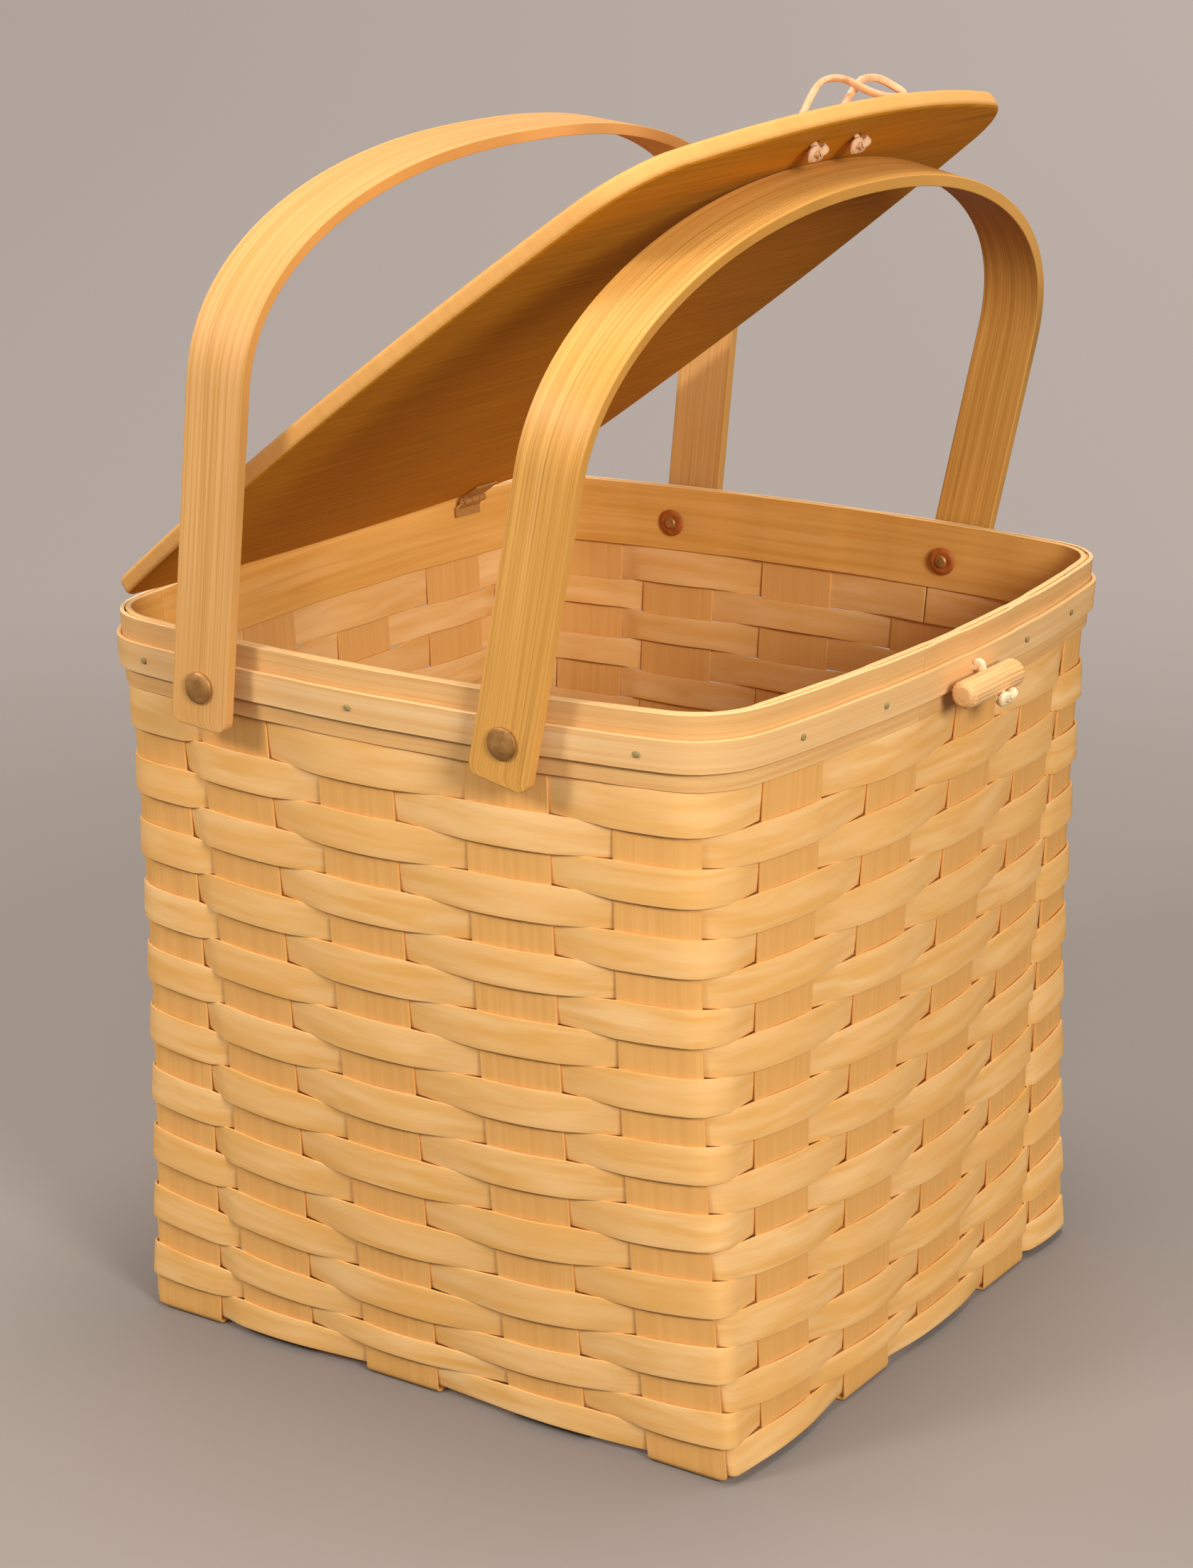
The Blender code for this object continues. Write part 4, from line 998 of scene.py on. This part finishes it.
# Fluted beech, cut across at its ends: fine pale grain between grooves that catch the light
dowel = split_wood(
    "fluted_beech_dowel", ("#E9BC84", "#D8A264", "#A87238"), (30, 0.5),
    veins=0.3, clouds=0.3, relief=0.2,
)
profile = [(0, PEG_HALF), (0.0028, PEG_HALF), (0.0031, PEG_HALF - 0.0001), (0.0045, PEG_HALF - 0.0018)]
profile.append((PEG_RADIUS, PEG_HALF - 0.0023))
profile += [(PEG_RADIUS, h) for h in spread(PEG_HALF - 0.003, -PEG_HALF + 0.003, 8)]
profile += [(r, -h) for r, h in reversed(profile[:5])]
bm = spun(profile, 72)
grain = bm.verts.layers.float_vector.new("grain")
for vert in bm.verts:
    angle = math.atan2(vert.co.y, vert.co.x)
    r = math.hypot(vert.co.x, vert.co.y)
    if r > 0.004:
        groove = 1 - FLUTE_DEPTH * max(0, math.cos(FLUTES * angle)) ** 2
        vert.co.x *= groove
        vert.co.y *= groove
    vert[grain] = (vert.co.z, angle * PEG_RADIUS, 71 + r * 400)
peg_place = Matrix.Translation(PEG) @ Matrix.Rotation(-math.pi / 2, 4, "X")
peg = placed_piece("wooden_dowel", bm, peg_place, dowel)
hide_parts("toggle_peg")
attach(peg, "toggle")

inside_x = abs(wall(HOLE.z, RIGHT, HOLE.y, INNER_OFF - INNER_THICK / 2).x) - HOLE.x
px, pz = PEG.x - HOLE.x, PEG.z - HOLE.z
# The lace's line from the hole in the rim: out of the basket, along the wall and up
toggle_line = (
    (inside_x - 0.0044, 0, 0),
    (inside_x - 0.0020, 0, 0),
    (inside_x - 0.0004, 0, 0),
    (0.0002, 0, 0.0001),
    (0.0014, -0.0004, 0.0014),
    (0.0028, -0.0004, 0.0013),
    (px - 0.0028, -0.0002, pz + 0.0032),
    (px, 0.0004, pz),
    (px + 0.0036, 0.0012, pz - 0.0036),
    (px + 0.0046, 0.0014, pz - 0.0046),
)
toggle_path = smooth_path([HOLE + Vector(point) for point in toggle_line], 4)
# The same leather, given a paler tone for the toggle: nearly cream beside the wood of the peg
pale_leather = undyed_leather("undyed_toggle_leather", "#EED2A8", "#D2A26C")
toggle_lace = lace("toggle_lace_run", toggle_path, KNOT_LACE, pale_leather)
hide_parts("toggle_lace")
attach(toggle_lace, "toggle")
for name, at, angle in (
    ("toggle_knot_under", (PEG.x + 0.0048, HOLE.y + 0.0016, PEG.z - 0.0048), -0.8),
    ("toggle_knot_inside", (HOLE.x + inside_x - 0.0022, HOLE.y, HOLE.z), math.pi / 2),
):
    place = Matrix.Translation(at) @ Matrix.Rotation(angle, 4, "Y")
    knot = overhand_knot(name, Vector(), place, KNOT_SIZE, KNOT_LACE, 0.5, KNOT_TAIL, pale_leather)
    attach(knot, "toggle")

# A wide warm-grey paper floor under four soft lamps: in front, at the right, at the left and
# overhead, a little behind. Away from the basket the paper shows to the camera as a glow, painted
# lighter towards the right, that fades far off into one even tone.
FLOOR_RADIUS = 14
BACKDROP = colour("#B6A9A1")
bm = bmesh.new()
bmesh.ops.create_circle(bm, cap_ends=True, segments=64, radius=FLOOR_RADIUS)
floor = linked("studio_floor", bm)
floor.location.z = -0.0002
# Matt paper: it takes soft shadows under the basket, shines nowhere and has no edge in sight
paper, tree, shader = new_material("matt_grey_paper", {"Roughness": 0.9, "Specular IOR Level": 0.1})
# To bounced light the paper is far darker than it looks to the camera, so it throws less light up and
# deepens the shade on the basket's lower walls
seen = add_node(tree, "ShaderNodeLightPath").outputs["Is Camera Ray"]
tones = {0: seen, 6: colour("#4E4742"), 7: colour("#8A817B")}
lit = add_node(tree, "ShaderNodeMix", tones, data_type="RGBA").outputs[2]
tree.links.new(lit, shader.inputs["Base Color"])
# Painted light: the glow the camera sees grows lighter towards the camera's right
place = add_node(tree, "ShaderNodeTexCoord").outputs["Object"]
dotted = add_node(tree, "ShaderNodeVectorMath", {0: place, 1: CAMERA_RIGHT}, operation="DOT_PRODUCT")
across = {"Value": dotted.outputs["Value"], "From Min": -1.2, "From Max": 1.2}
side = add_node(tree, "ShaderNodeMapRange", across).outputs[0]
tones = {0: side, 6: colour("#ADA098"), 7: colour("#BEB2AA")}
tone = add_node(tree, "ShaderNodeMix", tones, data_type="RGBA").outputs[2]
away = add_node(tree, "ShaderNodeVectorMath", {0: place}, operation="LENGTH").outputs["Value"]
end = add_node(tree, "ShaderNodeMapRange", {"Value": away, "From Min": 4.0, "From Max": 13.0}).outputs[0]
tone = add_node(tree, "ShaderNodeMix", {0: end, 6: tone, 7: BACKDROP}, data_type="RGBA").outputs[2]
even = add_node(tree, "ShaderNodeEmission", {"Color": tone}).outputs[0]
fade = {"Value": away, "From Min": 0.25, "From Max": 1.1}
far = add_node(tree, "ShaderNodeMapRange", fade, interpolation_type="SMOOTHSTEP").outputs[0]
share = add_node(tree, "ShaderNodeMath", {0: far, 1: seen}, operation="MULTIPLY").outputs[0]
mixed = add_node(tree, "ShaderNodeMixShader", {0: share, 1: shader.outputs[0], 2: even}).outputs[0]
tree.links.new(mixed, tree.nodes["Material Output"].inputs["Surface"])
floor.data.materials.append(paper)


def lamp(name, at, size, power, tone):
    """A round soft lamp aimed at the middle of the basket."""
    light = bpy.data.lights.new(name, "AREA")
    light.shape = "DISK"
    light.size = size
    light.energy = power
    light.color = colour(tone)[:3]
    obj = bpy.data.objects.new(name, light)
    scene.collection.objects.link(obj)
    way = Vector((0, 0, 0.15)) - Vector(at)
    obj.matrix_world = Matrix.Translation(at) @ way.to_track_quat("-Z", "Y").to_matrix().to_4x4()


lamp("front_softbox", (-0.5, -1.25, 1.0), 0.35, 10.5, "#FFFBF5")
lamp("right_softbox", (1.3, -0.75, 0.8), 0.5, 21, "#FFFAF2")
lamp("left_softbox", (-1.3, -0.5, 0.9), 0.6, 4, "#FFFAF2")
lamp("top_softbox", (0.1, 0.1, 2.1), 0.9, 27, "#FFFCF8")
world = bpy.data.worlds.new("studio_air")
world.use_nodes = True
tree = world.node_tree
air = tree.nodes["Background"]
air.inputs["Color"].default_value = colour("#F2EEEA")
air.inputs["Strength"].default_value = 0.55
seen = add_node(tree, "ShaderNodeLightPath").outputs["Is Camera Ray"]
backdrop = add_node(tree, "ShaderNodeBackground", {"Color": BACKDROP, "Strength": 1.0}).outputs[0]
mixed = add_node(tree, "ShaderNodeMixShader", {0: seen, 1: air.outputs[0], 2: backdrop}).outputs[0]
tree.links.new(mixed, tree.nodes["World Output"].inputs["Surface"])
scene.world = world
scene.view_settings.view_transform = "Standard"
